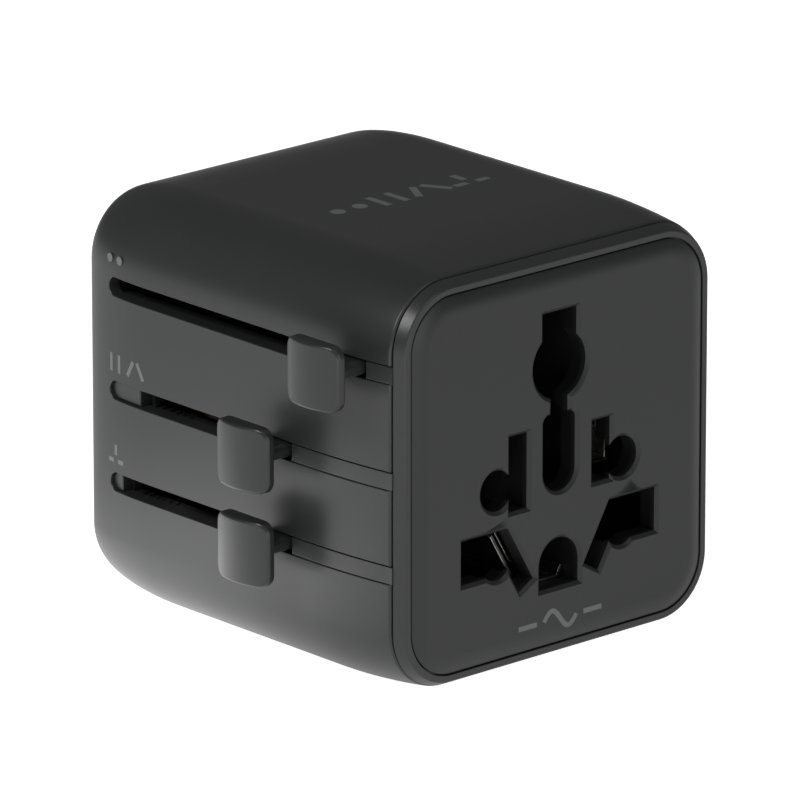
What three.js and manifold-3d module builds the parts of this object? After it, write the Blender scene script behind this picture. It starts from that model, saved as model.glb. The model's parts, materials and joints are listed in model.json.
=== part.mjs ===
// Universal travel adapter: a 50 mm cube-like housing with a multi-standard socket in front and
// three sets of plug pins (EU, US/AUS, UK) that are pushed out of the rear by knobs on its left side.
//
// Axes: +X right, +Y back (the way the pins travel), +Z up. Everything is drawn around the centre of
// the front ring's face, and the whole object is then shifted so that the origin is the centre of
// the flat underside.

import * as THREE from 'three';
import { mergeVertices } from 'three/addons/utils/BufferGeometryUtils.js';
import Module from 'manifold-3d';

const wasm = await Module();
wasm.setup();

// ---------------------------------------------------------------- driving dimensions (mm)

// Housing, measured back from the ring's front plane.
const HALF = 25.0;            // half width and half height of the shell
const SHELL_FRONT = 1.65;     // front edge of the shell
const SHELL_FLAT_START = 14.5;
const SHELL_FLAT_END = 42.3;
const SHELL_BACK = 54.5;
const SHELL_MIDDLE = 27.0;    // where the origin stands along the depth
const SHELL_CORNER = 9.1;
const FRONT_TAPER = 0.95;     // how far the sides draw in towards the front edge
const REAR_TAPER = 2.75;      // and towards the rear face
const WALL = 2.0;
const REAR_SIDE_WALL = 1.5;   // side wall where the skin tapers
const REAR_WALL_FRONT = 52.4; // inner face of the shell's rear wall
const WINDOW_HALF = 19.8;     // opening in the rear wall that shows the rear plate
const WINDOW_CORNER = 3.5;
const GAP = 0.3;              // running clearance between neighbours
const FIT = 0.05;             // clearance of a fixed fit

// Front ring and socket face.
const RING_HALF = 23.25;
const RING_CORNER = 7.0;
const FACE_HALF = 22.2;
const FACE_CORNER = 6.0;
const FACE_PROUD = 0.45;
const FACE_BACK = 0.6;
const INSERT_HALF = 20.9;
const INSERT_BACK = 2.42;

// Slots and knobs. Heights are slot centres above the ring's centre.
const SLOT_HEIGHT = 2.2;
const STEM = { length: 4.8, height: 1.8 };
const PAD = { length: 8.6, height: 7.7, corner: 1.5, back: 28.8, edge: 29.8, crown: 30.95 };
const EU = { z: 14.1, slotFront: 5.3, slotBack: 49.2, knob: 8.0, stroke: 38.6 };
const US = { z: 1.7, slotFront: 17.3, slotBack: 49.2, knob: 20.0, stroke: 20.7 };
const UK = { z: -9.35, slotFront: 17.3, slotBack: 49.2, knob: 20.0, stroke: 24.6 };
const FRAME_NOTCH = { eu: 49.5, us: 43.3, uk: 47.2 };

// Inner frame.
const FRAME = { half: 22.7, wall: 1.2, corner: 6.8, front: 16.0, back: 51.0 };
const BLOCK_LEFT = -21.1;     // outer face of the sliding blocks, just inside the frame
const BLOCK_RIGHT = -14.6;
const BLOCK_FRONT = 16.6;     // front of the US and UK sliding blocks

// Plug pins. Tips are given with the sliders at rest.
const EU_PIN = { x: 9.5, z: 9.0, r: 2.0, core: 1.5, root: 7.0, sleeveEnd: 26.0, tip: 35.0 };
const US_BLADE = { x: 6.35, z: 0.5, pivot: -0.5, height: 6.35, thick: 1.5, root: 24.5, tip: 51.3 };
const US_HUB = 2.4;
const TWIST = Math.PI / 6;
const UK_PIN = { x: 11.1, z: -9.6, w: 6.35, h: 4.0, root: 23.5, sleeveEnd: 39.6, tip: 48.0 };
const UK_EARTH = { z: 12.6, w: 4.0, h: 8.0, tip: 53.0 };
const CARRIAGE_BACK = { eu: 12.3, us: 29.9, uk: 26.3 };

// Busbars run beside the pins, one on each side.
const BUSBAR = { inner: 12.8, outer: 13.5, front: 14.5, spine: 17.3, back: 50.0 };
const RAIL_LOW = [-6.9, -3.1];
const RAIL_HIGH = [6.9, 12.0];
const STRIP = 0.5;            // thickness of the contact strips

const FUSE = { x: 18.75, z: 12.0, r: 2.5, cap: 5.0, front: 20.0, back: 40.0 };
const SCREW = { x: 16.0, z: 18.0, head: 1.6, shank: 0.8, tip: 45.5, sink: 1.5 };

// Fits of the shell and the collar at the front.
const CAVITY_FRONT = 10.0;
const SHELL_LIP = 1.1;        // wall of the shell at its front edge
const COLLAR_FIT = 0.1;       // clearance of the collar and its tongues
const MOUTH_HALF = HALF - FRONT_TAPER - SHELL_LIP;
const SKIRT = { corner: 6.9, front: 1.4, back: 5.0 };
const FACE_SEAT = 0.18;       // clearance round the edge of the socket face
const INSERT_CORNER = 5.0;

// Openings of the socket, drawn in the XZ plane.
const KEYHOLE = {
  top: 17.45, topHalf: 2.8, circleZ: 10.85, circleR: 4.25,
  neckEnd: 5.35, neckHalf: 1.5, lowHalf: 2.65, lowCentre: -1.65,
};
const EARTH_HOLE = { half: 3.2, foot: -15.65, centre: -12.65 };
const LEANING_SLOT = { footX: 3.65, footZ: -13.7, width: 2.9, top: -6.7 };
const FLAT_SLOT = {
  half: 1.57,
  left: { x: -6.31, low: -5.25, high: 4.1 },
  right: { x: 6.46, low: -4.5, high: 3.3 },
};
const ROUND_HOLE = { x: 9.6, z: -2.07, r: 2.62 };
const WIDE_SLOT = { inner: 8.2, outer: 15.1, low: -12.3, high: -6.7, reliefZ: -10.45, reliefR: 2.45 };

const BEYOND = 1.0;           // how far a cutter runs past the face that it cuts

// ---------------------------------------------------------------- materials

const plastic = (color, roughness = 0.6) =>
  new THREE.MeshStandardMaterial({ color, roughness, metalness: 0 });
const metal = (color, roughness = 0.3) =>
  new THREE.MeshStandardMaterial({ color, roughness, metalness: 1 });
const MATERIALS = {
  shell: plastic(0x454647, 0.55),
  face: plastic(0x3c3d3d, 0.6),
  knob: plastic(0x4a4b4c, 0.5),
  dark: plastic(0x1b1c1c, 0.7),
  sleeve: plastic(0x101010, 0.5),
  nickel: metal(0xc9cac8, 0.25),
  brass: metal(0xc8a659, 0.3),
  steel: metal(0x9fa2a4, 0.3),
  fuse: plastic(0xd9d6c9, 0.4),
};

// ---------------------------------------------------------------- solids

// A closed geometry as a solid that can be joined and cut.
function solid(geometry) {
  const bare = geometry.clone();
  bare.deleteAttribute('normal');
  bare.deleteAttribute('uv');
  const welded = mergeVertices(bare, 1e-5);
  return new wasm.Manifold(new wasm.Mesh({
    numProp: 3,
    vertProperties: new Float32Array(welded.attributes.position.array),
    triVerts: new Uint32Array(welded.index.array),
  }));
}

function geometryOf(manifold) {
  const mesh = manifold.getMesh();
  const geometry = new THREE.BufferGeometry();
  geometry.setAttribute('position', new THREE.BufferAttribute(mesh.vertProperties, 3));
  geometry.setIndex(new THREE.BufferAttribute(mesh.triVerts, 1));
  geometry.computeVertexNormals();
  return geometry;
}

const join = (first, ...others) => others.reduce((sum, item) => sum.add(item), first);
const cut = (first, ...others) => others.reduce((rest, item) => rest.subtract(item), first);

function box([x0, x1], [y0, y1], [z0, z1]) {
  const geometry = new THREE.BoxGeometry(x1 - x0, y1 - y0, z1 - z0);
  geometry.translate((x0 + x1) / 2, (y0 + y1) / 2, (z0 + z1) / 2);
  return solid(geometry);
}

// An outline in the XZ plane carried along Y.
function prism(shape, [y0, y1], curveSegments = 4) {
  const geometry = new THREE.ExtrudeGeometry(shape, { depth: y1 - y0, bevelEnabled: false, curveSegments });
  geometry.rotateX(Math.PI / 2);
  geometry.translate(0, y1, 0);
  return solid(geometry);
}

// An outline drawn as (y, z), carried along X.
function sideBar(shape, [x0, x1], curveSegments = 4) {
  const geometry = new THREE.ExtrudeGeometry(shape, { depth: x1 - x0, bevelEnabled: false, curveSegments });
  geometry.applyMatrix4(new THREE.Matrix4().makeBasis(
    new THREE.Vector3(0, 1, 0), new THREE.Vector3(0, 0, 1), new THREE.Vector3(1, 0, 0)));
  geometry.translate(x0, 0, 0);
  return solid(geometry);
}

function roundedRect(halfWidth, halfHeight, radius, cx = 0, cz = 0) {
  const shape = new THREE.Shape();
  const [x0, x1, z0, z1] = [cx - halfWidth, cx + halfWidth, cz - halfHeight, cz + halfHeight];
  shape.moveTo(x0 + radius, z0);
  shape.lineTo(x1 - radius, z0);
  shape.absarc(x1 - radius, z0 + radius, radius, -Math.PI / 2, 0);
  shape.lineTo(x1, z1 - radius);
  shape.absarc(x1 - radius, z1 - radius, radius, 0, Math.PI / 2);
  shape.lineTo(x0 + radius, z1);
  shape.absarc(x0 + radius, z1 - radius, radius, Math.PI / 2, Math.PI);
  shape.lineTo(x0, z0 + radius);
  shape.absarc(x0 + radius, z0 + radius, radius, Math.PI, Math.PI * 1.5);
  return shape;
}

// A turned piece about an axis along Y through (x, z); the profile is [radius, y] pairs.
function turned(profile, x = 0, z = 0, segments = 16) {
  const points = profile.map(([r, y]) => new THREE.Vector2(r, y));
  const geometry = new THREE.LatheGeometry(points, segments);
  geometry.translate(x, 0, z);
  return solid(geometry);
}

const rod = (x, z, r, [y0, y1], segments = 16) =>
  turned([[0, y0], [r, y0], [r, y1], [0, y1]], x, z, segments);

// A closed skin through rounded-square sections: each station is { y, half, corner }.
function loft(stations, arc) {
  const ring = ({ y, half, corner }) => {
    const points = [];
    for (let quarter = 0; quarter < 4; quarter += 1) {
      const sx = quarter === 0 || quarter === 3 ? 1 : -1;
      const sz = quarter < 2 ? 1 : -1;
      for (let step = 0; step <= arc; step += 1) {
        const angle = (quarter + step / arc) * Math.PI / 2;
        points.push([
          sx * (half - corner) + corner * Math.cos(angle),
          y,
          sz * (half - corner) + corner * Math.sin(angle),
        ]);
      }
    }
    return points;
  };
  const count = 4 * (arc + 1);
  const vertices = stations.flatMap(ring);
  const index = [];
  for (let row = 0; row < stations.length - 1; row += 1) {
    for (let i = 0; i < count; i += 1) {
      const next = (i + 1) % count;
      const [a, b] = [row * count + i, row * count + next];
      index.push(a, a + count, b, b, a + count, b + count);
    }
  }
  const first = vertices.length;
  const last = stations.length - 1;
  vertices.push([0, stations[0].y, 0], [0, stations[last].y, 0]);
  for (let i = 0; i < count; i += 1) {
    const next = (i + 1) % count;
    index.push(first, i, next, first + 1, last * count + next, last * count + i);
  }
  const geometry = new THREE.BufferGeometry();
  geometry.setAttribute('position', new THREE.Float32BufferAttribute(vertices.flat(), 3));
  geometry.setIndex(index);
  return solid(geometry);
}

// ---------------------------------------------------------------- the housing's outer skin

// Stations of the skin, offset inwards by `inset`.
function skinStations(inset, [start, end]) {
  const stations = [];
  const frontSteps = 4;
  for (let i = 0; i <= frontSteps; i += 1) {
    const t = i / frontSteps;
    const half = HALF - FRONT_TAPER * (1 - t) ** 2;
    stations.push({ y: start + (SHELL_FLAT_START - start) * t, half });
  }
  const rearSteps = 6;
  for (let i = 0; i <= rearSteps; i += 1) {
    const angle = (i / rearSteps) * Math.PI / 2;
    stations.push({
      y: SHELL_FLAT_END + (end - SHELL_FLAT_END) * Math.sin(angle),
      half: HALF - REAR_TAPER * (1 - Math.cos(angle)),
    });
  }
  return stations.map(({ y, half }) => ({
    y,
    half: half - inset,
    corner: SHELL_CORNER - (HALF - half) - inset,
  }));
}

const outerSkin = () => loft(skinStations(0, [SHELL_FRONT, SHELL_BACK]), 7);

// A side slot: open through the front edge, rounded at the rear.
function slotCutter({ z, slotBack }) {
  const front = 0;
  const radius = SLOT_HEIGHT / 2;
  const shape = new THREE.Shape();
  shape.moveTo(front, z - radius);
  shape.lineTo(slotBack - radius, z - radius);
  shape.absarc(slotBack - radius, z, radius, -Math.PI / 2, Math.PI / 2);
  shape.lineTo(front, z + radius);
  return sideBar(shape, [-HALF - BEYOND, -HALF + WALL + BEYOND]);
}

function bodyShell() {
  const inner = roundedRect(HALF - WALL, HALF - WALL, SHELL_CORNER - WALL);
  const cavity = prism(inner, [CAVITY_FRONT, REAR_WALL_FRONT], 5);
  const mouthOutline = roundedRect(MOUTH_HALF, MOUTH_HALF, SHELL_CORNER - WALL);
  const mouth = prism(mouthOutline, [0, CAVITY_FRONT + BEYOND], 5);
  const windowOutline = roundedRect(WINDOW_HALF, WINDOW_HALF, WINDOW_CORNER);
  const window = prism(windowOutline, [REAR_WALL_FRONT - BEYOND, SHELL_BACK + BEYOND], 3);
  // Towards the rear the cavity follows the taper of the skin.
  const limit = loft(skinStations(REAR_SIDE_WALL, [0, SHELL_BACK]), 5);
  const slots = [EU, US, UK].map(slotCutter);
  return cut(outerSkin(), cavity.intersect(limit), mouth, window, ...slots);
}

// ---------------------------------------------------------------- front ring with slot tongues

function frontCollar() {
  const band = loft([
    { y: 0, half: RING_HALF - 0.15, corner: RING_CORNER - 0.15 },
    { y: 0.2, half: RING_HALF + 0.05, corner: RING_CORNER + 0.05 },
    { y: 1.45, half: RING_HALF + 0.6, corner: RING_CORNER + 0.6 },
  ], 6);
  const skirtHalf = MOUTH_HALF - COLLAR_FIT;
  const skirt = prism(roundedRect(skirtHalf, skirtHalf, SKIRT.corner), [SKIRT.front, SKIRT.back], 5);
  const seatHalf = FACE_HALF + FACE_SEAT;
  const wellOutline = roundedRect(seatHalf, seatHalf, FACE_CORNER + FACE_SEAT);
  const well = prism(wellOutline, [-BEYOND, FACE_BACK + 0.02], 5);
  const boreHalf = INSERT_HALF + FIT;
  const bore = prism(roundedRect(boreHalf, boreHalf, INSERT_CORNER), [0, SKIRT.back + BEYOND], 5);
  const clearSkin = loft(skinStations(0, [SHELL_FRONT - 0.2, SHELL_BACK]), 7);
  const tongueHalf = SLOT_HEIGHT / 2 - COLLAR_FIT;
  const tongueRoot = 0.6;
  const tongue = ({ z, slotFront }) => box(
    [-HALF - BEYOND, -skirtHalf + tongueRoot],
    [SKIRT.front, slotFront - COLLAR_FIT],
    [z - tongueHalf, z + tongueHalf],
  ).intersect(clearSkin);
  const ring = cut(join(band, skirt), well, bore);
  return join(ring, ...[EU, US, UK].map(tongue));
}

// ---------------------------------------------------------------- socket openings

// A square-topped circle that narrows to a neck above a round-ended slot.
function keyhole() {
  const { top, topHalf, circleZ, circleR, neckEnd, neckHalf, lowHalf, lowCentre } = KEYHOLE;
  const shoulder = lowHalf - neckHalf;
  const angleTop = Math.acos(topHalf / circleR);
  const angleNeck = Math.acos(neckHalf / circleR);
  const shape = new THREE.Shape();
  shape.moveTo(-topHalf, top);
  shape.lineTo(-topHalf, circleZ + circleR * Math.sin(angleTop));
  shape.absarc(0, circleZ, circleR, Math.PI - angleTop, Math.PI + angleNeck, false);
  shape.lineTo(-neckHalf, neckEnd);
  shape.absarc(-neckHalf, neckEnd - shoulder, shoulder, Math.PI / 2, Math.PI, false);
  shape.absarc(0, lowCentre, lowHalf, Math.PI, Math.PI * 2, false);
  shape.absarc(neckHalf, neckEnd - shoulder, shoulder, 0, Math.PI / 2, false);
  shape.lineTo(neckHalf, neckEnd);
  shape.absarc(0, circleZ, circleR, -angleNeck, angleTop, false);
  shape.lineTo(topHalf, top);
  return shape;
}

function earthHole() {
  const { half, foot, centre } = EARTH_HOLE;
  const shape = new THREE.Shape();
  shape.moveTo(-half, foot);
  shape.lineTo(half, foot);
  shape.absarc(0, centre, half, 0, Math.PI, false);
  return shape;
}

// A slot leaning 30 degrees; `side` is -1 for left and 1 for right.
function leaningSlot(side) {
  const { footX, footZ, width, top } = LEANING_SLOT;
  const foot = new THREE.Vector2(footX, footZ);
  const along = new THREE.Vector2(Math.sin(TWIST), Math.cos(TWIST));
  const across = new THREE.Vector2(Math.cos(TWIST), -Math.sin(TWIST)).multiplyScalar(width);
  const inner = foot.clone().addScaledVector(along, (top - foot.y) / along.y);
  const outerFoot = foot.clone().add(across);
  const outer = outerFoot.clone().addScaledVector(along, (top - outerFoot.y) / along.y);
  const corners = [foot, outerFoot, outer, inner].map((p) => new THREE.Vector2(p.x * side, p.y));
  return new THREE.Shape(side > 0 ? corners : corners.reverse());
}

// All openings as one cutter between two depths.
function openings(depths, arc) {
  const sideCutters = [-1, 1].flatMap((side) => {
    const flat = side < 0 ? FLAT_SLOT.left : FLAT_SLOT.right;
    const wide = [WIDE_SLOT.inner * side, WIDE_SLOT.outer * side].sort((a, b) => a - b);
    return [
      box([flat.x - FLAT_SLOT.half, flat.x + FLAT_SLOT.half], depths, [flat.low, flat.high]),
      rod(ROUND_HOLE.x * side, ROUND_HOLE.z, ROUND_HOLE.r, depths, arc * 4),
      box(wide, depths, [WIDE_SLOT.low, WIDE_SLOT.high]),
      rod(ROUND_HOLE.x * side, WIDE_SLOT.reliefZ, WIDE_SLOT.reliefR, depths, arc * 4),
      prism(leaningSlot(side), depths),
    ];
  });
  return join(prism(keyhole(), depths, arc), prism(earthHole(), depths, arc), ...sideCutters);
}

function socketFace() {
  const plate = loft([
    { y: -FACE_PROUD, half: FACE_HALF - 1.9, corner: FACE_CORNER - 1.9 },
    { y: -FACE_PROUD + 0.06, half: FACE_HALF - 1.1, corner: FACE_CORNER - 1.1 },
    { y: -FACE_PROUD + 0.25, half: FACE_HALF - 0.35, corner: FACE_CORNER - 0.35 },
    { y: 0.1, half: FACE_HALF, corner: FACE_CORNER },
    { y: FACE_BACK, half: FACE_HALF, corner: FACE_CORNER },
  ], 6);
  return cut(plate, openings([-1, 1], 4));
}

// Carrier behind the face: a thick plate with the same openings and a channel for the earth pin.
function socketInsert() {
  const plateOutline = roundedRect(INSERT_HALF, INSERT_HALF, INSERT_CORNER);
  const plate = prism(plateOutline, [FACE_BACK + FIT, INSERT_BACK], 4);
  const root = 1.5;
  const channelBack = 15.5;
  const cradleBack = 12.5;
  const channel = box([-4.75, 4.75], [root, channelBack], [-5.6, 18.2]);
  const channelBore = box([-4.3, 4.3], [INSERT_BACK, channelBack + BEYOND], [-5.1, 17.7]);
  const cradle = box([-3.65, 3.65], [root, cradleBack], [-17.0, -8.6]);
  const cradleBore = box([-3.35, 3.35], [INSERT_BACK, cradleBack + BEYOND], [-16.3, -9.0]);
  const bodies = cut(join(plate, channel, cradle), channelBore, cradleBore);
  return cut(bodies, openings([0, INSERT_BACK + 0.01], 4));
}

// ---------------------------------------------------------------- inner frame and rear plate

const screwPlaces = [[-1, -1], [1, -1], [1, 1], [-1, 1]].map(([sx, sz]) => [sx * SCREW.x, sz * SCREW.z]);

function innerFrame() {
  const { half, wall, corner, front, back } = FRAME;
  const tube = cut(
    prism(roundedRect(half, half, corner), [front, back], 4),
    prism(roundedRect(half - wall, half - wall, corner - wall), [front - 1, back + 1], 4),
  );
  const limit = loft(skinStations(REAR_SIDE_WALL + GAP, [0, SHELL_BACK]), 4);
  const bossFront = 43.0;
  const bossRadius = 1.95;
  const webHalf = 0.8;
  const webEnd = half - 0.4;
  const bosses = screwPlaces.map(([x, z]) => {
    const span = z > 0 ? [z, webEnd] : [-webEnd, z];
    const web = box([x - webHalf, x + webHalf], [bossFront, back], span);
    return join(rod(x, z, bossRadius, [bossFront, back], 12), web);
  });
  const bores = screwPlaces.map(([x, z]) =>
    rod(x, z, SCREW.shank + FIT, [bossFront + 1, back + BEYOND], 10));
  const notchHalf = 1.3;
  const slots = [[EU, FRAME_NOTCH.eu], [US, FRAME_NOTCH.us], [UK, FRAME_NOTCH.uk]].map(([row, end]) => box(
    [-half - BEYOND, -half + wall + BEYOND],
    [front - BEYOND, end],
    [row.z - notchHalf, row.z + notchHalf],
  ));
  return cut(join(tube.intersect(limit), ...bosses), ...bores, ...slots);
}

// Sweep of a flat blade opening from upright to the leaning position, on one side.
function fanCutter(side, depths) {
  const clearance = 0.35;
  const steps = 3;
  const positions = Array.from({ length: steps + 1 }, (_, i) => {
    const { height, thick, z, pivot } = US_BLADE;
    const [width, tall] = [thick + 2 * clearance, height + 2 * clearance];
    const geometry = new THREE.BoxGeometry(width, depths[1] - depths[0], tall);
    geometry.translate(0, (depths[0] + depths[1]) / 2, z - pivot);
    geometry.rotateY(side * TWIST * (i / steps));
    geometry.translate(side * US_BLADE.x, 0, pivot);
    return solid(geometry);
  });
  return join(...positions);
}

function rearPlate() {
  const flange = prism(roundedRect(20.9, 20.9, 4.5), [FRAME.back + FIT, REAR_WALL_FRONT - FIT], 3);
  const seam = 0.15;
  const panelHalf = WINDOW_HALF - seam;
  const panelOutline = roundedRect(panelHalf, panelHalf, WINDOW_CORNER - seam);
  const panel = prism(panelOutline, [FRAME.back + 0.5, SHELL_BACK - 0.25], 3);
  const through = [FRAME.back - BEYOND, SHELL_BACK + BEYOND];
  const pinHole = ({ w, h, z }, x) =>
    prism(roundedRect(w / 2 + GAP, h / 2 + GAP, 0.4, x, z), through, 2);
  const holes = [-1, 1].flatMap((side) => [
    rod(EU_PIN.x * side, EU_PIN.z, EU_PIN.r + GAP, through, 20),
    pinHole(UK_PIN, UK_PIN.x * side),
    fanCutter(side, through),
  ]);
  const earth = pinHole(UK_EARTH, 0);
  const screwHoles = screwPlaces.flatMap(([x, z]) => [
    rod(x, z, SCREW.shank + seam, through, 12),
    rod(x, z, SCREW.head + seam, [SHELL_BACK - SCREW.sink, SHELL_BACK + BEYOND], 16),
  ]);
  return cut(join(flange, panel), ...holes, earth, ...screwHoles);
}

function rearScrew([x, z]) {
  const { head, shank, tip, sink } = SCREW;
  const seat = SHELL_BACK - sink;
  const top = seat + 1.1;
  const shape = turned([
    [0, tip], [shank - 0.3, tip], [shank, tip + 0.7], [shank, seat + FIT],
    [head, seat + FIT], [head, top - 0.35], [head - 0.4, top], [0, top],
  ], x, z, 14);
  const cross = { half: 0.8, width: 0.16, floor: seat + 0.5 };
  const recess = (across, up) =>
    box([x - across, x + across], [cross.floor, top + BEYOND], [z - up, z + up]);
  return cut(shape, recess(cross.half, cross.width), recess(cross.width, cross.half));
}

// ---------------------------------------------------------------- knobs and latch springs

const STEM_END = -18.6;
const POCKET_END = -15.4;

// A thumb pad on an oblong stem that runs through the slot into the sliding block.
function knob({ z, knob: y }) {
  const { length, height, corner, back, edge, crown } = PAD;
  const half = length / 2;
  const plan = new THREE.Shape();
  plan.moveTo(-back, y - half);
  plan.lineTo(-back, y + half);
  plan.lineTo(-edge - 0.15, y + half);
  plan.quadraticCurveTo(-2 * crown + edge, y + 0.6, -edge, y - half);
  const margin = 1;
  const planGeometry = new THREE.ExtrudeGeometry(plan, {
    depth: height + 2 * margin, bevelEnabled: false, curveSegments: 8,
  });
  planGeometry.translate(0, 0, z - height / 2 - margin);
  const face = sideBar(roundedRect(half, height / 2, corner, y, z), [-crown - margin, -back + margin]);
  const pad = solid(planGeometry).intersect(face);
  return join(pad, oblong(y, z, STEM.length / 2, STEM.height / 2, [-back - 0.3, STEM_END]));
}

// A bar along X with an oblong section.
function oblong(y, z, halfLength, radius, [x0, x1]) {
  const shape = new THREE.Shape();
  const run = halfLength - radius;
  shape.absarc(y + run, z, radius, -Math.PI / 2, Math.PI / 2, false);
  shape.absarc(y - run, z, radius, Math.PI / 2, Math.PI * 1.5, false);
  return sideBar(shape, [x0, x1]);
}

const stemPocket = ({ z, knob: y }) =>
  oblong(y, z, STEM.length / 2 + GAP, STEM.height / 2 + 0.2, [BLOCK_LEFT - 1, POCKET_END]);

class Helix extends THREE.Curve {
  constructor(start, end, y, z, radius, turns) {
    super();
    Object.assign(this, { start, end, y, z, radius, turns });
  }

  getPoint(t, target = new THREE.Vector3()) {
    const angle = t * this.turns * Math.PI * 2;
    return target.set(
      this.start + (this.end - this.start) * t,
      this.y + this.radius * Math.cos(angle),
      this.z + this.radius * Math.sin(angle),
    );
  }
}

function latchSpring({ z, knob: y }) {
  const wire = 0.13;
  const coilRadius = 0.68;
  const turns = 5;
  const clear = wire + 0.1;
  const section = new THREE.Shape();
  section.absarc(0, 0, wire, 0, Math.PI * 2, false);
  const path = new Helix(STEM_END + clear, POCKET_END - clear, y, z, coilRadius, turns);
  return solid(new THREE.ExtrudeGeometry(section, {
    steps: turns * 8, curveSegments: 3, extrudePath: path, bevelEnabled: false,
  }));
}

// ---------------------------------------------------------------- EU plug set

const EU_BLOCK = { front: 5.4, low: 12.3, high: 15.9 };
const EU_LEG = [7.1, 11.9];

function euCarriage() {
  const back = CARRIAGE_BACK.eu;
  const depth = [6.0, back];
  const armHalf = 1.1;
  const bridgeRise = [18.6, 21.0];
  const legRise = [6.6, 19.0];
  const block = box([BLOCK_LEFT, BLOCK_RIGHT], [EU_BLOCK.front, back], [EU_BLOCK.low, EU_BLOCK.high]);
  const arm = box([BLOCK_RIGHT - 0.5, -EU_LEG[0]], depth, [EU.z - armHalf, EU.z + armHalf]);
  const bridge = box([-EU_LEG[1], EU_LEG[1]], depth, bridgeRise);
  const legs = [[-EU_LEG[1], -EU_LEG[0]], EU_LEG].map((span) => box(span, depth, legRise));
  const bores = [-1, 1].map((side) =>
    rod(EU_PIN.x * side, EU_PIN.z, EU_PIN.core + FIT, [EU_PIN.root - FIT, back + 1]));
  return cut(join(block, arm, bridge, ...legs), ...bores, stemPocket(EU));
}

const euPin = (side) => turned([
  [0, EU_PIN.root], [EU_PIN.core, EU_PIN.root], [EU_PIN.core, EU_PIN.sleeveEnd],
  [EU_PIN.r, EU_PIN.sleeveEnd], [EU_PIN.r, EU_PIN.tip - 1.6], [EU_PIN.r * 0.8, EU_PIN.tip - 0.5],
  [EU_PIN.r * 0.45, EU_PIN.tip], [0, EU_PIN.tip],
], EU_PIN.x * side, EU_PIN.z);

const euSleeve = (side) => turned([
  [EU_PIN.core + FIT, CARRIAGE_BACK.eu + FIT], [EU_PIN.r, CARRIAGE_BACK.eu + FIT],
  [EU_PIN.r, EU_PIN.sleeveEnd - FIT], [EU_PIN.core + FIT, EU_PIN.sleeveEnd - FIT],
  [EU_PIN.core + FIT, CARRIAGE_BACK.eu + FIT],
], EU_PIN.x * side, EU_PIN.z);

// Sprung finger on the outside of a leg, facing the upper rail.
function euWiper(side) {
  const x = [EU_LEG[1] + FIT, BUSBAR.inner - GAP];
  const foot = box([x[0], x[0] + 0.3], [6.5, 11.8], [7.6, 11.4]);
  const finger = box([x[0], x[1]], [7.6, 9.0], [8.4, 10.6]);
  return mirrored(join(foot, finger), side);
}

// A piece drawn on the right side, or its mirror image on the left.
const mirrored = (item, side) => (side > 0 ? item : item.mirror([1, 0, 0]));

// ---------------------------------------------------------------- US / AUS plug set

const US_BEAM = { front: 23.5, low: -2.8, blockHalf: 2.4, hubHalf: 3.3 };

function usCarriage() {
  const back = CARRIAGE_BACK.us;
  const { front, low, blockHalf, hubHalf } = US_BEAM;
  const block = box([BLOCK_LEFT, BLOCK_RIGHT], [BLOCK_FRONT, back], [US.z - blockHalf, US.z + blockHalf]);
  const beam = box([BLOCK_RIGHT - 0.5, 9.7], [front, back], [low, 4.1]);
  const housings = [-1, 1].map((side) =>
    box([US_BLADE.x * side - hubHalf, US_BLADE.x * side + hubHalf], [front, back], [-3.6, 2.6]));
  const ear = box([9, 12.4], [front, back], [low, -1.2]);
  const bores = [-1, 1].map((side) =>
    rod(US_BLADE.x * side, US_BLADE.pivot, US_HUB + 0.1, [US_BLADE.root - 0.1, back + 1]));
  return cut(join(block, beam, ...housings, ear), ...bores, stemPocket(US));
}

// Flat blade with a chamfered tip on a round hub that turns in the carriage.
function usBlade(side) {
  const { x, z, height, thick, pivot, root, tip } = US_BLADE;
  const hub = rod(x * side, pivot, US_HUB, [root, CARRIAGE_BACK.us + GAP]);
  const outline = new THREE.Shape();
  const half = height / 2;
  const chamfer = { length: 1.2, height: 1.0 };
  const start = CARRIAGE_BACK.us - 0.4;
  outline.moveTo(start, z - half);
  outline.lineTo(tip - chamfer.length, z - half);
  outline.lineTo(tip, z - half + chamfer.height);
  outline.lineTo(tip, z + half - chamfer.height);
  outline.lineTo(tip - chamfer.length, z + half);
  outline.lineTo(start, z + half);
  const hole = new THREE.Path();
  hole.absarc(tip - 6.2, z, 1.6, 0, Math.PI * 2, true);
  outline.holes.push(hole);
  const plate = sideBar(outline, [x * side - thick / 2, x * side + thick / 2], 6);
  const clearOfCarriage = box([-HALF, HALF], [CARRIAGE_BACK.us + GAP / 2, tip + BEYOND], [-HALF, HALF]);
  return join(hub, plate.intersect(clearOfCarriage));
}

function usWiper(side) {
  const outer = BUSBAR.inner - GAP;
  const depth = [24.5, 29.0];
  const top = US_BEAM.low - FIT;
  const foot = box([9.9, outer], depth, [top - 0.2, top]);
  const finger = box([outer - STRIP, outer], depth, [-6.4, top]);
  return mirrored(join(foot, finger), side);
}

// ---------------------------------------------------------------- UK plug set

const UK_BAR = { low: UK_PIN.z - 2.35, high: -7.5, front: 22.7 };
const UK_COLUMN = { inner: 14.8, outer: 17.6, armLow: 4.6, armHigh: 6.4, postHalf: 2.6 };
const UK_SLEEVE = { wall: 0.6, boreHalf: 1.4 };
const EARTH_ROOT = 3.0;       // half height of the earth pin's root

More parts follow.
